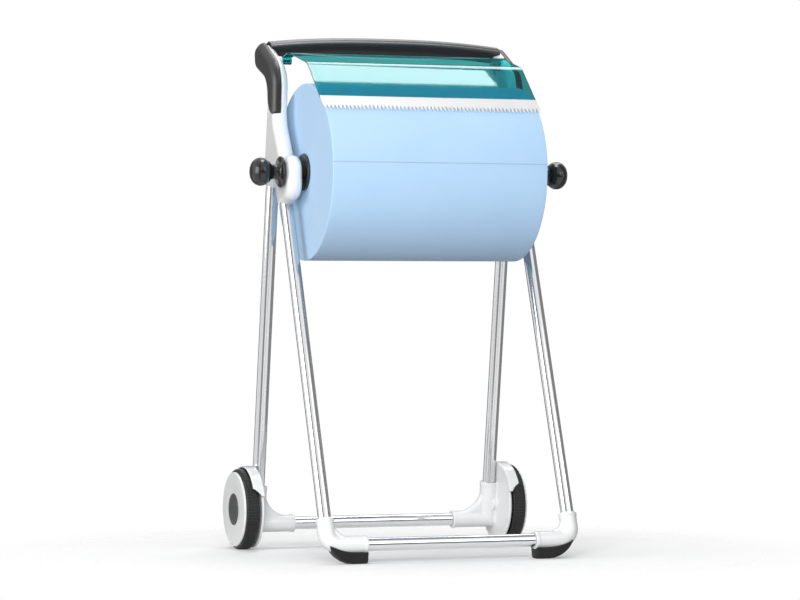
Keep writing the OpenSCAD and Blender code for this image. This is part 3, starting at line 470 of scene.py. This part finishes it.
# Box between two corners
def block(low, high):
    x, y, z = np.meshgrid(*[np.array([a, b], float) for a, b in zip(low, high)], indexing="ij")
    points = np.stack([x.ravel(), y.ravel(), z.ravel()], 1)
    return points, [[0, 1, 3, 2], [4, 6, 7, 5], [0, 4, 5, 1], [2, 3, 7, 6], [0, 2, 6, 4], [1, 5, 7, 3]]


def mirrored(shape, sign):
    points, faces = shape
    return (points, faces) if sign > 0 else (points * np.array([-1.0, 1, 1]), [f[::-1] for f in faces])


def bareObject(name, shape):
    points, faces = shape
    mesh = bpy.data.meshes.new(name)
    mesh.from_pydata((np.asarray(points) * mm).tolist(), [], faces)
    work = bmesh.new()
    work.from_mesh(mesh)
    bmesh.ops.remove_doubles(work, verts=work.verts, dist=2e-6)
    bmesh.ops.dissolve_degenerate(work, edges=work.edges, dist=1e-7)
    work.to_mesh(mesh)
    work.free()
    obj = bpy.data.objects.new(name, mesh)
    scene.collection.objects.link(obj)
    return obj


def placed(obj, material, body, stands=(), sharp=38):
    obj.data.materials.clear()
    obj.data.materials.append(material)
    obj.data.shade_smooth()
    if sharp:
        obj.data.set_sharp_from_angle(angle=math.radians(sharp))
    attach(obj, body)
    if stands:
        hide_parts(*stands)


# Moulding: solids are joined, cuts taken out, and the whole is remeshed and eased so that inner corners get
# fillets. A sign of -1 makes it for the left side
def moulding(name, solids, cuts, grid=0.0, ease=0, sign=1):
    solids, cuts = ([mirrored(shape, sign) for shape in shapes] for shapes in (solids, cuts))
    base = bareObject(name, solids[0])
    helpers = []
    for kind, shapes in (("UNION", solids[1:]), ("DIFFERENCE", cuts)):
        if not shapes:
            continue
        gathered = bpy.data.collections.new(name + kind)
        for shape in shapes:
            tool = bareObject(name + "Tool", shape)
            scene.collection.objects.unlink(tool)
            gathered.objects.link(tool)
            helpers.append(tool)
        step = base.modifiers.new(kind, "BOOLEAN")
        step.operation = kind
        step.operand_type = "COLLECTION"
        step.collection = gathered
        step.solver = "EXACT"
    if grid:
        remesh = base.modifiers.new("grid", "REMESH")
        remesh.mode = "VOXEL"
        remesh.voxel_size = grid * mm
    if ease:
        smooth = base.modifiers.new("ease", "SMOOTH")
        smooth.factor = 0.5
        smooth.iterations = ease
    finished = bpy.data.meshes.new_from_object(base.evaluated_get(bpy.context.evaluated_depsgraph_get()))
    base.modifiers.clear()
    base.data = finished
    for tool in helpers:
        bpy.data.objects.remove(tool)
    return base


# the stand's lines, in millimetres

stand = dict(tubeR=12.5, legX=244.5, armIn=229.0, armOut=260.0, frontLean=20.9, rearLean=8.75, apexBack=94.0,
             apexUp=116.0, frontBarZ=35.0, rearBarZ=48.0, socketR=16.5, lip=0.9, lipL=7.0)
axisAt, wheelAt, hingeAt = (jointAt[name][1:] for name in ("roll_spin", "right_wheel_spin", "lid_hinge"))
axisY, axisZ = axisAt
frontBarY, rearBarY = (500 * (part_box(bar)[0][1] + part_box(bar)[1][1]) for bar in ("front_crossbar", "rear_crossbar"))
legX, armIn, armOut, tubeR, socketR = (stand[name] for name in ("legX", "armIn", "armOut", "tubeR", "socketR"))


def leant(points, lean, baseY, baseZ):
    a = math.radians(lean)
    x, y, z = np.asarray(points, float).T
    return np.column_stack([legX + x, baseY + y * math.cos(a) + z * math.sin(a),
                            baseZ - y * math.sin(a) + z * math.cos(a)])


def onFrontLeg(points):
    return leant(points, stand["frontLean"], frontBarY, stand["frontBarZ"])


def onRearLeg(points):
    return leant(points, -stand["rearLean"], rearBarY, stand["rearBarZ"])


def fromAxis(corners):
    return [[c[0] + axisY, c[1] + axisZ, *c[2:]] for c in corners]


def prism(outline, low, high):
    return ringSkin(np.stack([np.column_stack([np.full(len(outline), x), outline]) for x in (low, high)]))


def acrossY(shape, middle):
    points, faces = shape
    return np.column_stack([points[:, 1], middle - points[:, 0], points[:, 2]]), faces


def legRod(place, z0, z1, r, around=48):
    return rod(*place([[0, 0, z0], [0, 0, z1]]), r, around)


# side arms: one rounded plate each, open at the top for the spindle, hollowed for the legs and the grip's ear

arms = dict(collarR=17.0, frontDrop=66.0, rearDrop=26.0, hubR=32.0, neckBack=53.0, neckD=54.0, slope=28.3, bendR=60.0,
            edge=14.0, earLow=117.0, slotR=12.06, tipBack=50.0, tipUp=39.0, seam=0.3, gripSeat=11.0, grid=1.5, ease=3,
            boreLow=560.0, frontBore=806.0, rearBore=754.0, boreGap=0.15, screwR=3.8, screwSink=4.0, pinBossR=9.0,
            pinBossIn=0.8, pinBossL=15.0)
hinge = hingeAt - axisAt
tip = hinge + [arms["tipBack"], arms["tipUp"]]
fa, ra = math.radians(stand["frontLean"]), math.radians(stand["rearLean"])
apex = np.array([stand["apexBack"], stand["apexUp"]])
frontFoot = apex - np.array([math.sin(fa), math.cos(fa)]) * (stand["apexUp"] + arms["frontDrop"]) / math.cos(fa)
rearFoot = apex - np.array([-math.sin(ra), math.cos(ra)]) * (stand["apexUp"] + arms["rearDrop"]) / math.cos(ra)
frontSide = arms["collarR"] * np.array([math.cos(fa), -math.sin(fa)])
rearSide = arms["collarR"] * np.array([math.cos(ra), math.sin(ra)])
rise = math.tan(math.radians(arms["slope"]))
neckTop = [arms["neckBack"], tip[1] - (tip[0] - arms["neckBack"]) * rise]
rear = arms["neckBack"] + arms["neckD"]
armCorners = fromAxis([
    [*(frontFoot - frontSide), 9], [*(frontFoot + frontSide), 9], [apex[0] - 25, 0, 16],
    [*(rearFoot - rearSide), 9], [*(rearFoot + rearSide), 9], [rear, arms["earLow"] + 28, 80],
    [tip[0] - 8, tip[1] - 48, 16], [tip[0] + 4, tip[1] + 4 * rise, 8], [*neckTop, arms["bendR"]],
    [arms["neckBack"] + 7, arms["earLow"] - 14, 50], [arms["slotR"] + 7, arms["hubR"] + 3, 10],
    [-arms["hubR"], arms["hubR"], arms["hubR"] - 1], [-arms["hubR"] - 1, -47, 34]])
heel = [rear - 3, arms["earLow"] - 4]
pocket = roundedOutline(fromAxis([
    [-arms["hubR"], arms["earLow"] - arms["seam"] + 6.3, 1], [heel[0], heel[1] - arms["seam"], 32],
    [heel[0] + 2.4, arms["earLow"] + 30, 1], [tip[0] + 80, arms["earLow"] + 32, 1],
    [tip[0] + 80, tip[1] + 60, 1], [-arms["hubR"], tip[1] + 60, 1]]))
gripCorners = fromAxis([
    [*(tip + [-34, -10]), 4], [*(tip + [2, -22]), 30], [*(tip + [18, -31]), 8], [*(tip + [30, -29]), 8],
    [*(tip + [34, -7]), 9], [*(tip + [-4, 3]), 22], [*(tip + [-17, -2.5]), 4], [*(tip + [-20, -6]), 2]])
half = np.linspace(np.pi, 2 * np.pi, 40)[:, None]
slotOutline = np.concatenate([arms["slotR"] * np.column_stack([np.cos(half), np.sin(half)]),
                              [[arms["slotR"], 70], [-arms["slotR"], 70]]]) + axisAt
screwSpots = fromAxis([[arms["neckBack"] + arms["neckD"] / 2, arms["earLow"] + 28], tip + [-31, -42]])
for sign, side in sides:
    solids = [roundedPlate(armCorners, armIn, armOut, arms["edge"]),
              rodX(armIn - arms["pinBossIn"], armIn + arms["pinBossL"], hingeAt, arms["pinBossR"])]
    cuts = [prism(roundedOutline(gripCorners, -arms["seam"]), armIn - 5, armIn + arms["gripSeat"]),
            prism(pocket, legX - 0.1, legX + 40), prism(slotOutline, armIn - 5, armOut + 5),
            legRod(onFrontLeg, arms["boreLow"], arms["frontBore"], tubeR + arms["boreGap"]),
            legRod(onRearLeg, arms["boreLow"], arms["rearBore"], tubeR + arms["boreGap"])]
    cuts += [rodX(armIn - 5, armIn + arms["screwSink"], spot, arms["screwR"]) for spot in screwSpots]
    arm = moulding("sideArm_" + side, solids, cuts, arms["grid"], arms["ease"], sign)
    placed(arm, whitePlastic, "stand", ["arm_" + side], sharp=0)
print("stage: side arms")


# grip: one section carried along an arch, run into an ear at each end

grip = dict(reach=239.7, rise=11.5, power=2.5, earT=17.0, stations=61, grid=1.3, ease=4)
gripSection = roundedOutline(gripCorners, 0, 18)
along = np.linspace(-1, 1, grip["stations"])[:, None, None]
gripRings = np.empty((grip["stations"], len(gripSection), 3))
gripRings[:, :, :1] = grip["reach"] * along
gripRings[:, :, 1:] = gripSection
gripRings[:, :, 2:] += grip["rise"] * (1 - np.abs(along) ** grip["power"])
earCorners = fromAxis([
    [arms["neckBack"] + 5.6, arms["earLow"], 0.5, [1, 0]], [*heel, 32, [-1, 0]], [rear + 1, tip[1] - 81, 40],
    [*(tip + [28, -50]), 22], [*(tip + [34, -10]), 20], [tip[0] + 2, tip[1] + 2 * rise, 12],
    [*neckTop, arms["bendR"]]])
bridge = roundedOutline(fromAxis([[*(tip + [6, -3]), 3], [*(tip + [6, -23]), 3], [*(tip + [18, -30.4]), 6],
                                  [*(tip + [29.6, -28.6]), 7], [*(tip + [33.4, -7.4]), 6]]))
earSolids = []
for sign in (1, -1):
    ear = roundedPlate(earCorners, legX + 0.1, legX + grip["earT"], arms["edge"], roundLow=False)
    earSolids += [mirrored(ear, sign), mirrored(prism(bridge, grip["reach"] - 3, legX + 6), sign)]
handle = moulding("gripWithEars", earSolids, [], grip["grid"], grip["ease"])
span = bareObject("gripSpan", ringSkin(gripRings))
joined = bmesh.new()
joined.from_mesh(handle.data)
joined.from_mesh(span.data)
joined.to_mesh(handle.data)
joined.free()
bpy.data.objects.remove(span)
placed(handle, gripPlastic, "stand", ["handle"], sharp=40)
print("stage: grip")


# front elbows: a round section of changing radius carried from the crossbar round the bend to the leg

elbow = dict(bend=24.0, legL=27.0, barL=52.0, mouth=0.8, bore=12.58, depth=8.0, around=64, webR=30.0, webT=19.8,
             grid=1.0, ease=3, bedGap=0.12)


def bentTube(stations, around):
    x, z, phi, r = np.array(stations, float).T[:, :, None]
    t = np.linspace(0, 2 * np.pi, around, endpoint=False)[None, :]
    return np.stack([x + r * np.cos(t) * np.cos(phi), r * np.sin(t) + 0 * x, z + r * np.cos(t) * np.sin(phi)], -1)


# Mouth of a socket as (place, radius): bore wall, rounded mouth, then the raised lip. Inward is the sign of the
# way into the socket
def lipped(at, inward, r):
    lipR, lipL = r + stand["lip"], stand["lipL"]
    bore, mouth = elbow["bore"], elbow["mouth"]
    steps = [(elbow["depth"], bore), (mouth, bore), (0.2, bore + 0.3), (0, bore + mouth), (0, lipR - 1.0),
             (0.3, lipR - 0.3), (1.0, lipR), (lipL - 1.0, lipR), (lipL - 0.2, lipR - 0.35), (lipL + 0.6, r)]
    return [(at + inward * along, radius) for along, radius in steps]


# Stations (x, z, angle, radius) round the bend
def bendStations(r):
    return [(elbow["bend"] * (math.cos(a) - 1), elbow["bend"] * (1 + math.sin(a)), a, r)
            for a in np.linspace(-np.pi / 2, 0, 28)]


# Web in the corner of two sockets: a square less a quarter circle, as a plate with soft edges
def cornerWeb(webR, webT, place):
    near, far = socketR - 1, socketR + webR + 2
    corners = [[0, 0, 1], [0, far, 1], [-near, far, 1], [-near, near, webR], [-far, near, 1], [-far, 0, 1]]
    points, faces = acrossY(roundedPlate(corners, -webT / 2, webT / 2, 7), 0)
    return place(points), faces


barEnd, legEnd = -elbow["bend"] - elbow["barL"], elbow["bend"] + elbow["legL"]
stations = [(x, 0, -np.pi / 2, r) for x, r in lipped(barEnd, 1, socketR)]
stations += bendStations(socketR)
stations += [(0, z, 0, r) for z, r in lipped(legEnd, -1, socketR)[::-1]]
elbowRings = bentTube(stations, elbow["around"])
bedR = socketR + elbow["bedGap"]
bedStations = [(barEnd + on, 0, -np.pi / 2, bedR + lip)
               for on, lip in ((-20, stand["lip"]), (7.3, stand["lip"]), (7.6, 0))]
bedRings = bentTube(bedStations + bendStations(bedR), elbow["around"])

foot = dict(depth=36.0, height=23.0, toe=52.0, grid=0.9, ease=3)
innerEnd = legX + barEnd
footCorners = [[innerEnd, 0, 3], [legX - 14, 0, foot["toe"]], [legX + 3, foot["height"] + 15, 2],
               [legX - 40, foot["height"], 90], [innerEnd, foot["height"], 1.5]]
for sign, side in sides:
    points, faces = ringSkin(elbowRings)
    solids = [(onFrontLeg(points), faces), cornerWeb(elbow["webR"], elbow["webT"], onFrontLeg)]
    cuts = [legRod(onFrontLeg, legEnd - elbow["depth"], legEnd + 20, elbow["bore"])]
    piece = moulding("frontElbow_" + side, solids, cuts, elbow["grid"], elbow["ease"], sign)
    placed(piece, whitePlastic, "stand", ["front_elbow_" + side], sharp=0)
    bedPoints, bedFaces = ringSkin(bedRings)
    pad = acrossY(roundedPlate(footCorners, -foot["depth"] / 2, foot["depth"] / 2, 5), frontBarY)
    groove = block([legX - 45, frontBarY - 40, -1], [legX - 40, frontBarY + 40, 2.5])
    rubber = moulding("rubberFoot_" + side, [pad], [(onFrontLeg(bedPoints), bedFaces), groove],
                      foot["grid"], foot["ease"], sign)
    placed(rubber, footRubber, "stand", ["foot_" + side], sharp=0)
print("stage: elbows and feet")


# rear brackets: sockets, web, backing disc and fender moulded in one

wheel = dict(r=79.0, discIn=257.0, discOut=262.0, tyreIn=266.0, tyreOut=292.8, plate=293.0, face=297.0, faceR=73.0,
             capX=294.0, rim=66.0, capR=31.0, axleR=5.06, hubIn=265.0, hubOut=288.0, hubR=14.0, recessR=11.0,
             dish=290.0, ribs=84, ribDepth=1.0, grooveX=279.4, grooveW=1.6)
fender = dict(inner=81.5, outer=84.5, edgeX=279.0, start=25.0, sweep=135.0, endR=40.0, cutX=19.9, cutOn=17.8,
              foot=70.0, stations=73)
bracket = dict(legL=76.0, barL=77.0, kneeLip=0.8, webR=50.0, webT=19.8, bossR=12.0, boreGap=0.2, grid=1.25, ease=4)
discIn, discOut, tyreIn = wheel["discIn"], wheel["discOut"], wheel["tyreIn"]
fenderX = np.array([discIn, discOut, discOut, fender["edgeX"], fender["edgeX"], discIn])
fenderR = np.repeat([fender["foot"], fender["inner"], fender["outer"]], 2)
sweepAngle = np.radians(fender["start"] + fender["sweep"] * np.linspace(0, 1, fender["stations"]))[::-1, None]
fenderRings = aroundX(fenderX, fenderR, sweepAngle, wheelAt)
legSocketR = socketR + bracket["kneeLip"]
bracketEnd = legX - bracket["barL"]
barLine = [rearBarY, stand["rearBarZ"]]
for sign, side in sides:
    solids = [legRod(onRearLeg, 0, bracket["legL"], legSocketR),
              legRod(onRearLeg, bracket["legL"] - stand["lipL"], bracket["legL"] - 0.05, legSocketR + stand["lip"]),
              rodX(bracketEnd, discIn + 1, barLine, socketR),
              rodX(bracketEnd + 0.05, bracketEnd + stand["lipL"], barLine, socketR + stand["lip"]),
              cornerWeb(bracket["webR"], bracket["webT"], onRearLeg),
              rodX(discIn, discOut, wheelAt, wheel["r"] - 3, 160),
              rodX(discIn - 8, tyreIn - 1.2, wheelAt, bracket["bossR"]),
              ringSkin(fenderRings)]
    cuts = [legRod(onRearLeg, 48, 100, tubeR + bracket["boreGap"]),
            rodX(bracketEnd - 5, bracketEnd + 40, barLine, tubeR + bracket["boreGap"])]
    for a, on in ((fender["start"], -1), (fender["start"] + fender["sweep"], 1)):
        way = np.array([0, math.cos(math.radians(a)), math.sin(math.radians(a))])
        past = on * fender["cutOn"] * np.array([0, -way[2], way[1]])
        hub = np.array([fender["edgeX"] + fender["cutX"], *wheelAt]) + past
        cuts.append(rod(hub + way * (wheel["r"] - 3.5), hub + way * (wheel["r"] + 16), fender["endR"]))
    piece = moulding("wheelBracket_" + side, solids, cuts, bracket["grid"], bracket["ease"], sign)
    placed(piece, whitePlastic, "stand", ["wheel_bracket_" + side], sharp=0)
print("stage: rear brackets")


# wheels: turned disc, ribbed tyre and domed cap

hubIn, hubOut, hubR, recessR = (wheel[name] for name in ("hubIn", "hubOut", "hubR", "recessR"))
capX, capR, face, faceR, rim = (wheel[name] for name in ("capX", "capR", "face", "faceR", "rim"))
discLoop = roundedOutline([
    [hubIn, wheel["axleR"], 0.4], [hubOut, wheel["axleR"], 0.3], [hubOut, recessR, 0.3], [capX, recessR, 0.3],
    [capX, capR + 0.15, 0.3], [face, capR + 0.15, 0.7], [face, faceR, 2.2], [wheel["plate"], faceR, 0.6],
    [wheel["plate"], rim, 0.4], [tyreIn, rim, 0.8], [tyreIn, rim - 4, 0.8], [wheel["dish"], rim - 4, 1.5],
    [wheel["dish"], hubR, 1.5], [hubIn, hubR, 0.6]], 0, 6)
tyreLoop = roundedOutline([[tyreIn, rim + 0.05, 1], [wheel["tyreOut"], rim + 0.05, 0.4],
                           [wheel["tyreOut"], wheel["r"], 6], [tyreIn, wheel["r"], 6]], 0, 12)
capLoop = roundedOutline([[capX + 1.5, 0, 0], [capX + 1.5, recessR, 0.2], [capX, recessR, 0.2], [capX, capR, 0.3],
                          [capX + 4, capR, 1.6], [capX + 5, 22, 8], [capX + 5, 0, 0]], 0, 8)
for sign, side in sides:
    body = side + "_wheel"
    piece = bareObject("wheelDisc_" + side, mirrored(turned(discLoop, wheelAt, 160), sign))
    placed(piece, wheelPlastic, body, ["wheel_" + side])
    # tyre: radius less the rib depth wherever a rounded square wave of the angle is low, fading out down the
    # shoulders, with one groove round the middle
    around = wheel["ribs"] * 8
    angle = np.linspace(0, 2 * np.pi, around, endpoint=False)[:, None]
    wave = 0.5 - 0.5 * np.tanh(3.2 * np.sin(angle * wheel["ribs"])) / math.tanh(3.2)
    fadeOut = np.clip((tyreLoop[:, 1] - wheel["r"] + 5.5) / 3.5, 0, 1)[None, :]
    centreGroove = np.exp(-((tyreLoop[:, 0] - wheel["grooveX"]) / wheel["grooveW"]) ** 2)[None, :]
    radius = tyreLoop[:, 1][None, :] - wheel["ribDepth"] * fadeOut * np.maximum(wave, 0.8 * centreGroove)
    points = aroundX(tyreLoop[:, 0], radius, angle, wheelAt).reshape(-1, 3)
    piece = bareObject("tyre_" + side, mirrored((points, gridFaces(around, len(tyreLoop), True)), sign))
    placed(piece, tyreRubber, body, ["tyre_" + side])
    piece = bareObject("hubCap_" + side, mirrored(turned(capLoop, wheelAt), sign))
    placed(piece, capPlastic, body, ["hub_cap_" + side])
print("stage: wheels")


# spindle: knobs and core plugs

# Knob outline: a flattened ball, and from ballFrom inward the smooth maximum of the waist, the ball and the flange
knob = dict(flangeX=262.5, flangeT=6.0, flangeR=30.0, ballX=305.5, ballR=19.0, ballOut=8.0, ballFrom=290.0,
            ballTo=286.5, waistR=14.0, waistX=279.0, waistBend=12.5, waistMax=19.5, journalX=222.0, journalR=12.0,
            rodR=7.06, rodEnd=286.8, blend=10)


def halfCircle(x, middle, r):
    return np.sqrt(np.clip(r ** 2 - (x - middle) ** 2, 0, None))


ballX = knob["ballX"] + knob["ballR"] * np.cos(np.linspace(0, np.pi, 90))
ballLine = np.column_stack([ballX, knob["ballOut"] + halfCircle(ballX, knob["ballX"], knob["ballR"])])
neckX = np.linspace(knob["ballFrom"], knob["flangeX"], 90)
waist = knob["waistR"] + knob["waistBend"] - halfCircle(neckX, knob["waistX"], knob["waistBend"])
ballAtNeck = knob["ballOut"] + halfCircle(neckX, knob["ballX"], knob["ballR"]) * (neckX > knob["ballTo"])
flangeEdge = knob["flangeT"] / 2
flangeMid = knob["flangeX"] + flangeEdge
flange = np.where(np.abs(neckX - flangeMid) < flangeEdge,
                  knob["flangeR"] - flangeEdge + halfCircle(neckX, flangeMid, flangeEdge), 0)
parts = np.stack([np.minimum(waist, knob["waistMax"]), np.where(ballAtNeck > knob["ballOut"], ballAtNeck, 0), flange])
neckLine = np.column_stack([neckX, (parts ** knob["blend"]).sum(0) ** (1 / knob["blend"])])
knobLoop = np.concatenate([[[knob["ballX"] + knob["ballR"], 0]], ballLine[ballX > knob["ballFrom"]], neckLine,
                           [[knob["flangeX"], knob["journalR"]], [knob["journalX"], knob["journalR"]],
                            [knob["journalX"], knob["rodR"]], [knob["rodEnd"], knob["rodR"]], [knob["rodEnd"], 0]]])
plug = dict(flangeX=217.0, flangeT=5.0, flangeR=36.0, bodyR=28.95, depth=40.0)
plugIn, plugOut = plug["flangeX"] - plug["depth"], plug["flangeX"] + plug["flangeT"]
plugLoop = roundedOutline([
    [plugIn, knob["rodR"], 0.3], [plugOut, knob["rodR"], 0.3], [plugOut, plug["flangeR"], 2.2],
    [plug["flangeX"], plug["flangeR"], 0.8], [plug["flangeX"], plug["bodyR"], 0.3], [plugIn, plug["bodyR"], 1.5]], 0, 8)
for sign, side in sides:
    piece = bareObject("knob_" + side, mirrored(turned(knobLoop, axisAt), sign))
    placed(piece, blackPlastic, "roll", ["knob_" + side], sharp=50)
    piece = bareObject("corePlug_" + side, mirrored(turned(plugLoop, axisAt), sign))
    placed(piece, blackPlastic, "roll", ["core_plug_" + side])
print("stage: knobs and plugs")


# wiper roll: radius grows by one sheet's step over each turn, so the loose sheet's end shows as a step, which the paper
# finish darkens with a painted shadow line

roll = dict(r=170.0, halfW=217.0, bore=33.05, step=0.7, lineUp=14.5, around=720, edge=1.6, faceRings=40,
            acrossRings=30, cornerSteps=6, layerDepth=0.10)
faceRings, acrossRings, rollR, rollHalf = (roll[name] for name in ("faceRings", "acrossRings", "r", "halfW"))
corners = roundedOutline([[-rollHalf, roll["bore"], 0.4], [rollHalf, roll["bore"], 0.4],
                          [rollHalf, rollR, roll["edge"]], [-rollHalf, rollR, roll["edge"]]],
                         0, roll["cornerSteps"]).reshape(4, -1, 2)
layerR = np.linspace(roll["bore"], rollR, faceRings + 2)
sideUp = np.column_stack([np.full(faceRings, rollHalf), layerR[1:-1]])
sideDown = np.column_stack([np.full(faceRings, -rollHalf), layerR[-2:0:-1]])
topAcross = np.column_stack([np.linspace(0.96, -0.96, acrossRings) * rollHalf, np.full(acrossRings, rollR)])
rollLoop = np.concatenate([corners[0], corners[1], sideUp, corners[2], topAcross, corners[3], sideDown])
startAngle = math.pi - math.asin(roll["lineUp"] / rollR)
partTurn = np.linspace(0, 1, roll["around"])[:, None]
rollAngle = startAngle + 2 * np.pi * partTurn * (1 - 1e-5)
outerness = np.clip((rollLoop[:, 1] - 0.9 * rollR) / (0.1 * rollR), 0, 1)[None, :]
seed = np.random.default_rng(7)
wander = np.interp(rollLoop[:, 1], layerR, seed.normal(0, roll["layerDepth"], faceRings + 2))
isFace = np.abs(np.abs(rollLoop[:, 0]) - rollHalf) < 1e-6
xShift = np.where(isFace, -np.abs(wander) * np.sign(rollLoop[:, 0]), 0)[None, :]
radius = rollLoop[:, 1][None, :] - roll["step"] * (1 - partTurn) * outerness
rollPoints = aroundX(rollLoop[:, 0] + xShift, radius, rollAngle, axisAt).reshape(-1, 3)
rollPiece = bareObject("wiperRoll", (rollPoints, gridFaces(roll["around"], len(rollLoop), True)))
at = np.empty(len(rollPiece.data.vertices) * 3)
rollPiece.data.vertices.foreach_get("co", at)
at = at.reshape(-1, 3)
turnAngle = np.arctan2(at[:, 2] - axisZ * mm, at[:, 1] - axisY * mm)
distance = np.hypot(at[:, 2] - axisZ * mm, at[:, 1] - axisY * mm)
wound = np.column_stack([at[:, 0], turnAngle * rollR * mm, distance])
woundSkin.inputs["Sheet End"].default_value = startAngle * rollR * mm
woundData = rollPiece.data.attributes.new("wound", "FLOAT_VECTOR", "POINT").data
woundData.foreach_set("vector", wound.ravel().astype(np.float32))
placed(rollPiece, paper, "roll", ["wiper_roll"], sharp=30)
print("stage: roll")


# lid: a bent sheet of even thickness across the roll, with a rear lip and two hinge barrels

lid = dict(slope=42.9, panel=103.0, topSlope=13.5, top=107.0, bendR=45.0, thick=2.5, halfW=221.0, endUp=19.0,
           dist=172.2, lipDrop=7.0, barrelR=7.0, barrelL=18.0, gap=1.4, tabBack=14.0, tabRise=30.0, pinBore=3.05)
pa, ta = math.radians(lid["slope"]), math.radians(lid["topSlope"])
panelUp, panelOut = np.array([math.cos(pa), math.sin(pa)]), np.array([-math.sin(pa), math.cos(pa)])
topUp, topOut = np.array([math.cos(ta), math.sin(ta)]), np.array([-math.sin(ta), math.cos(ta)])
lidEnd = lid["dist"] * panelOut + lid["endUp"] * panelUp
lidBend = lidEnd + lid["panel"] * panelUp
lidRear = lidBend + lid["top"] * topUp
t = lid["thick"]
lidCorners = [[*lidRear, 0.7], [*lidBend, lid["bendR"]], [*lidEnd, 0.5], [*(lidEnd - t * panelOut), 0.5],
              [*(lidBend - t * (panelOut + topOut) / (1 + panelOut @ topOut)), lid["bendR"] - t],
              [*(lidRear - t * topOut - t * topUp), 1.2], [*(lidRear - lid["lipDrop"] * topOut - t * topUp), 0.6],
              [*(lidRear - lid["lipDrop"] * topOut), 0.6]]
ends = np.array([-1, -1, -1, 1, 1, 1]) * (lid["halfW"] - np.array([0, 0.25, 0.7, 0.7, 0.25, 0]))
insets = [0.6, 0.2, 0, 0, 0.2, 0.6]
lidRings = np.stack([np.column_stack([np.full(9 * len(lidCorners), x), roundedOutline(fromAxis(lidCorners), i, 8)])
                     for x, i in zip(ends, insets)])
tabUp = np.array([lid["tabBack"] - lid["barrelR"], lid["tabRise"]])
tabUp /= np.linalg.norm(tabUp)
tabIn = lidRear - t * topOut
barrelX = armIn - lid["gap"] - lid["barrelL"]
tabLoop = np.array([tabIn - 3 * topUp, tabIn, hinge + (lid["barrelR"] - t) * tabUp, hinge + lid["barrelR"] * tabUp,
                    lidRear])
barrelEnd = barrelX + lid["barrelL"]
lidSolids, lidCuts = [ringSkin(lidRings)], []
for sign in (1, -1):
    lidSolids.append(mirrored(prism(tabLoop + axisAt, barrelX, barrelEnd), sign))
    lidSolids.append(mirrored(rodX(barrelX, barrelEnd, hingeAt, lid["barrelR"]), sign))
    lidCuts.append(mirrored(rodX(barrelX - 1, barrelX + 30, hingeAt, lid["pinBore"]), sign))
lidPiece = moulding("tealLid", lidSolids, lidCuts)
lidPiece.modifiers.new("flatPanels", "WEIGHTED_NORMAL").keep_sharp = True
placed(lidPiece, lidFinish, "cover", ["lid"], sharp=25)
lidPiece.data.materials.append(lidEdge)
middles = np.empty(3 * len(lidPiece.data.polygons))
lidPiece.data.polygons.foreach_get("center", middles)
atEnd = np.abs(middles[::3]) > (lid["halfW"] - 0.6) * mm
lidPiece.data.polygons.foreach_set("material_index", atEnd.astype(np.int32))

# tear bar: a toothed plate under the lid's edge, with a thin lap over it
bar = dict(thick=2.6, lap=1.2, lapL=3.0, length=36.0, tooth=14.0, teeth=57, round=0.35)
pitch = 2 * lid["halfW"] / bar["teeth"]
low = lid["endUp"] - bar["length"]
count = np.arange(bar["teeth"])
toothX = np.column_stack([-lid["halfW"] + count * pitch, -lid["halfW"] + (count + 0.5) * pitch]).ravel()
toothS = np.tile([low + bar["tooth"], low], bar["teeth"])
edgeX = np.concatenate([toothX, [lid["halfW"], lid["halfW"], -lid["halfW"]]])
edgeS = np.concatenate([toothS, [low + bar["tooth"], lid["endUp"], lid["endUp"]]])


# Point of the lid's panel: x along the roll, s up the panel, w outward from it
def onPanel(x, s, w):
    outward = lid["dist"] + w
    return np.column_stack([x, axisY + s * panelUp[0] + outward * panelOut[0],
                            axisZ + s * panelUp[1] + outward * panelOut[1]])


under, over = bar["lap"] - bar["thick"], bar["lap"]
plate = ringSkin(np.stack([onPanel(edgeX, edgeS, under), onPanel(edgeX, edgeS, over)]))
lapX, lapS = lid["halfW"] * np.array([-1, 1, 1, -1]), lid["endUp"] + np.array([-1, -1, bar["lapL"], bar["lapL"]])
lap = ringSkin(np.stack([onPanel(lapX, lapS, 0.02), onPanel(lapX, lapS, over)]))
tearBar = moulding("tearBar", [plate, lap], [])
bevel = tearBar.modifiers.new("softEdges", "BEVEL")
bevel.width = bar["round"] * mm
bevel.segments = 2
bevel.limit_method = "ANGLE"
tearBar.modifiers.new("flatPanels", "WEIGHTED_NORMAL").keep_sharp = True
placed(tearBar, shadedBarPlastic, "cover", ["tear_bar"], sharp=30)
print("stage: lid and tear bar")


# legs and crossbars: plain round tubes from one socket's stop to the next

tubes = dict(around=96, frontLow=24.5, rearLow=48.5, topRise=6.5)
for node, place, lowZ in (("front_leg", onFrontLeg, tubes["frontLow"]), ("rear_leg", onRearLeg, tubes["rearLow"])):
    base, up = place([[0, 0, 0], [0, 0, 1]])
    topZ = (1000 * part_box(node + "_right")[1][2] - tubes["topRise"] - base[2]) / (up[2] - base[2])
    tube = legRod(place, lowZ, topZ, tubeR, tubes["around"])
    for sign, side in sides:
        piece = bareObject(node.replace("_l", "L") + "_" + side, mirrored(tube, sign))
        placed(piece, legTube, "stand", [node + "_" + side])
for node in ("front_crossbar", "rear_crossbar"):
    low, high = 1000 * np.array(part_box(node))
    tube = rodX(low[0], high[0], (low[1:] + high[1:]) / 2, tubeR, tubes["around"])
    placed(bareObject(node.replace("_c", "C"), tube), barTube, "stand", [node])
print("stage: tubes")


# CAD pieces that stay as they are get their finishes

steelNodes = ["handle_screws", "leg_screws", "socket_screws", "axle_left", "axle_right", "axle_clip_left",
              "axle_clip_right", "spindle_rod", "hinge_pin_left", "hinge_pin_right"]
for name in steelNodes + ["roll_core"]:
    nodes[name].data.materials.clear()
    nodes[name].data.materials.append(steelFinish if name in steelNodes else cardFinish)

print("stage: done")
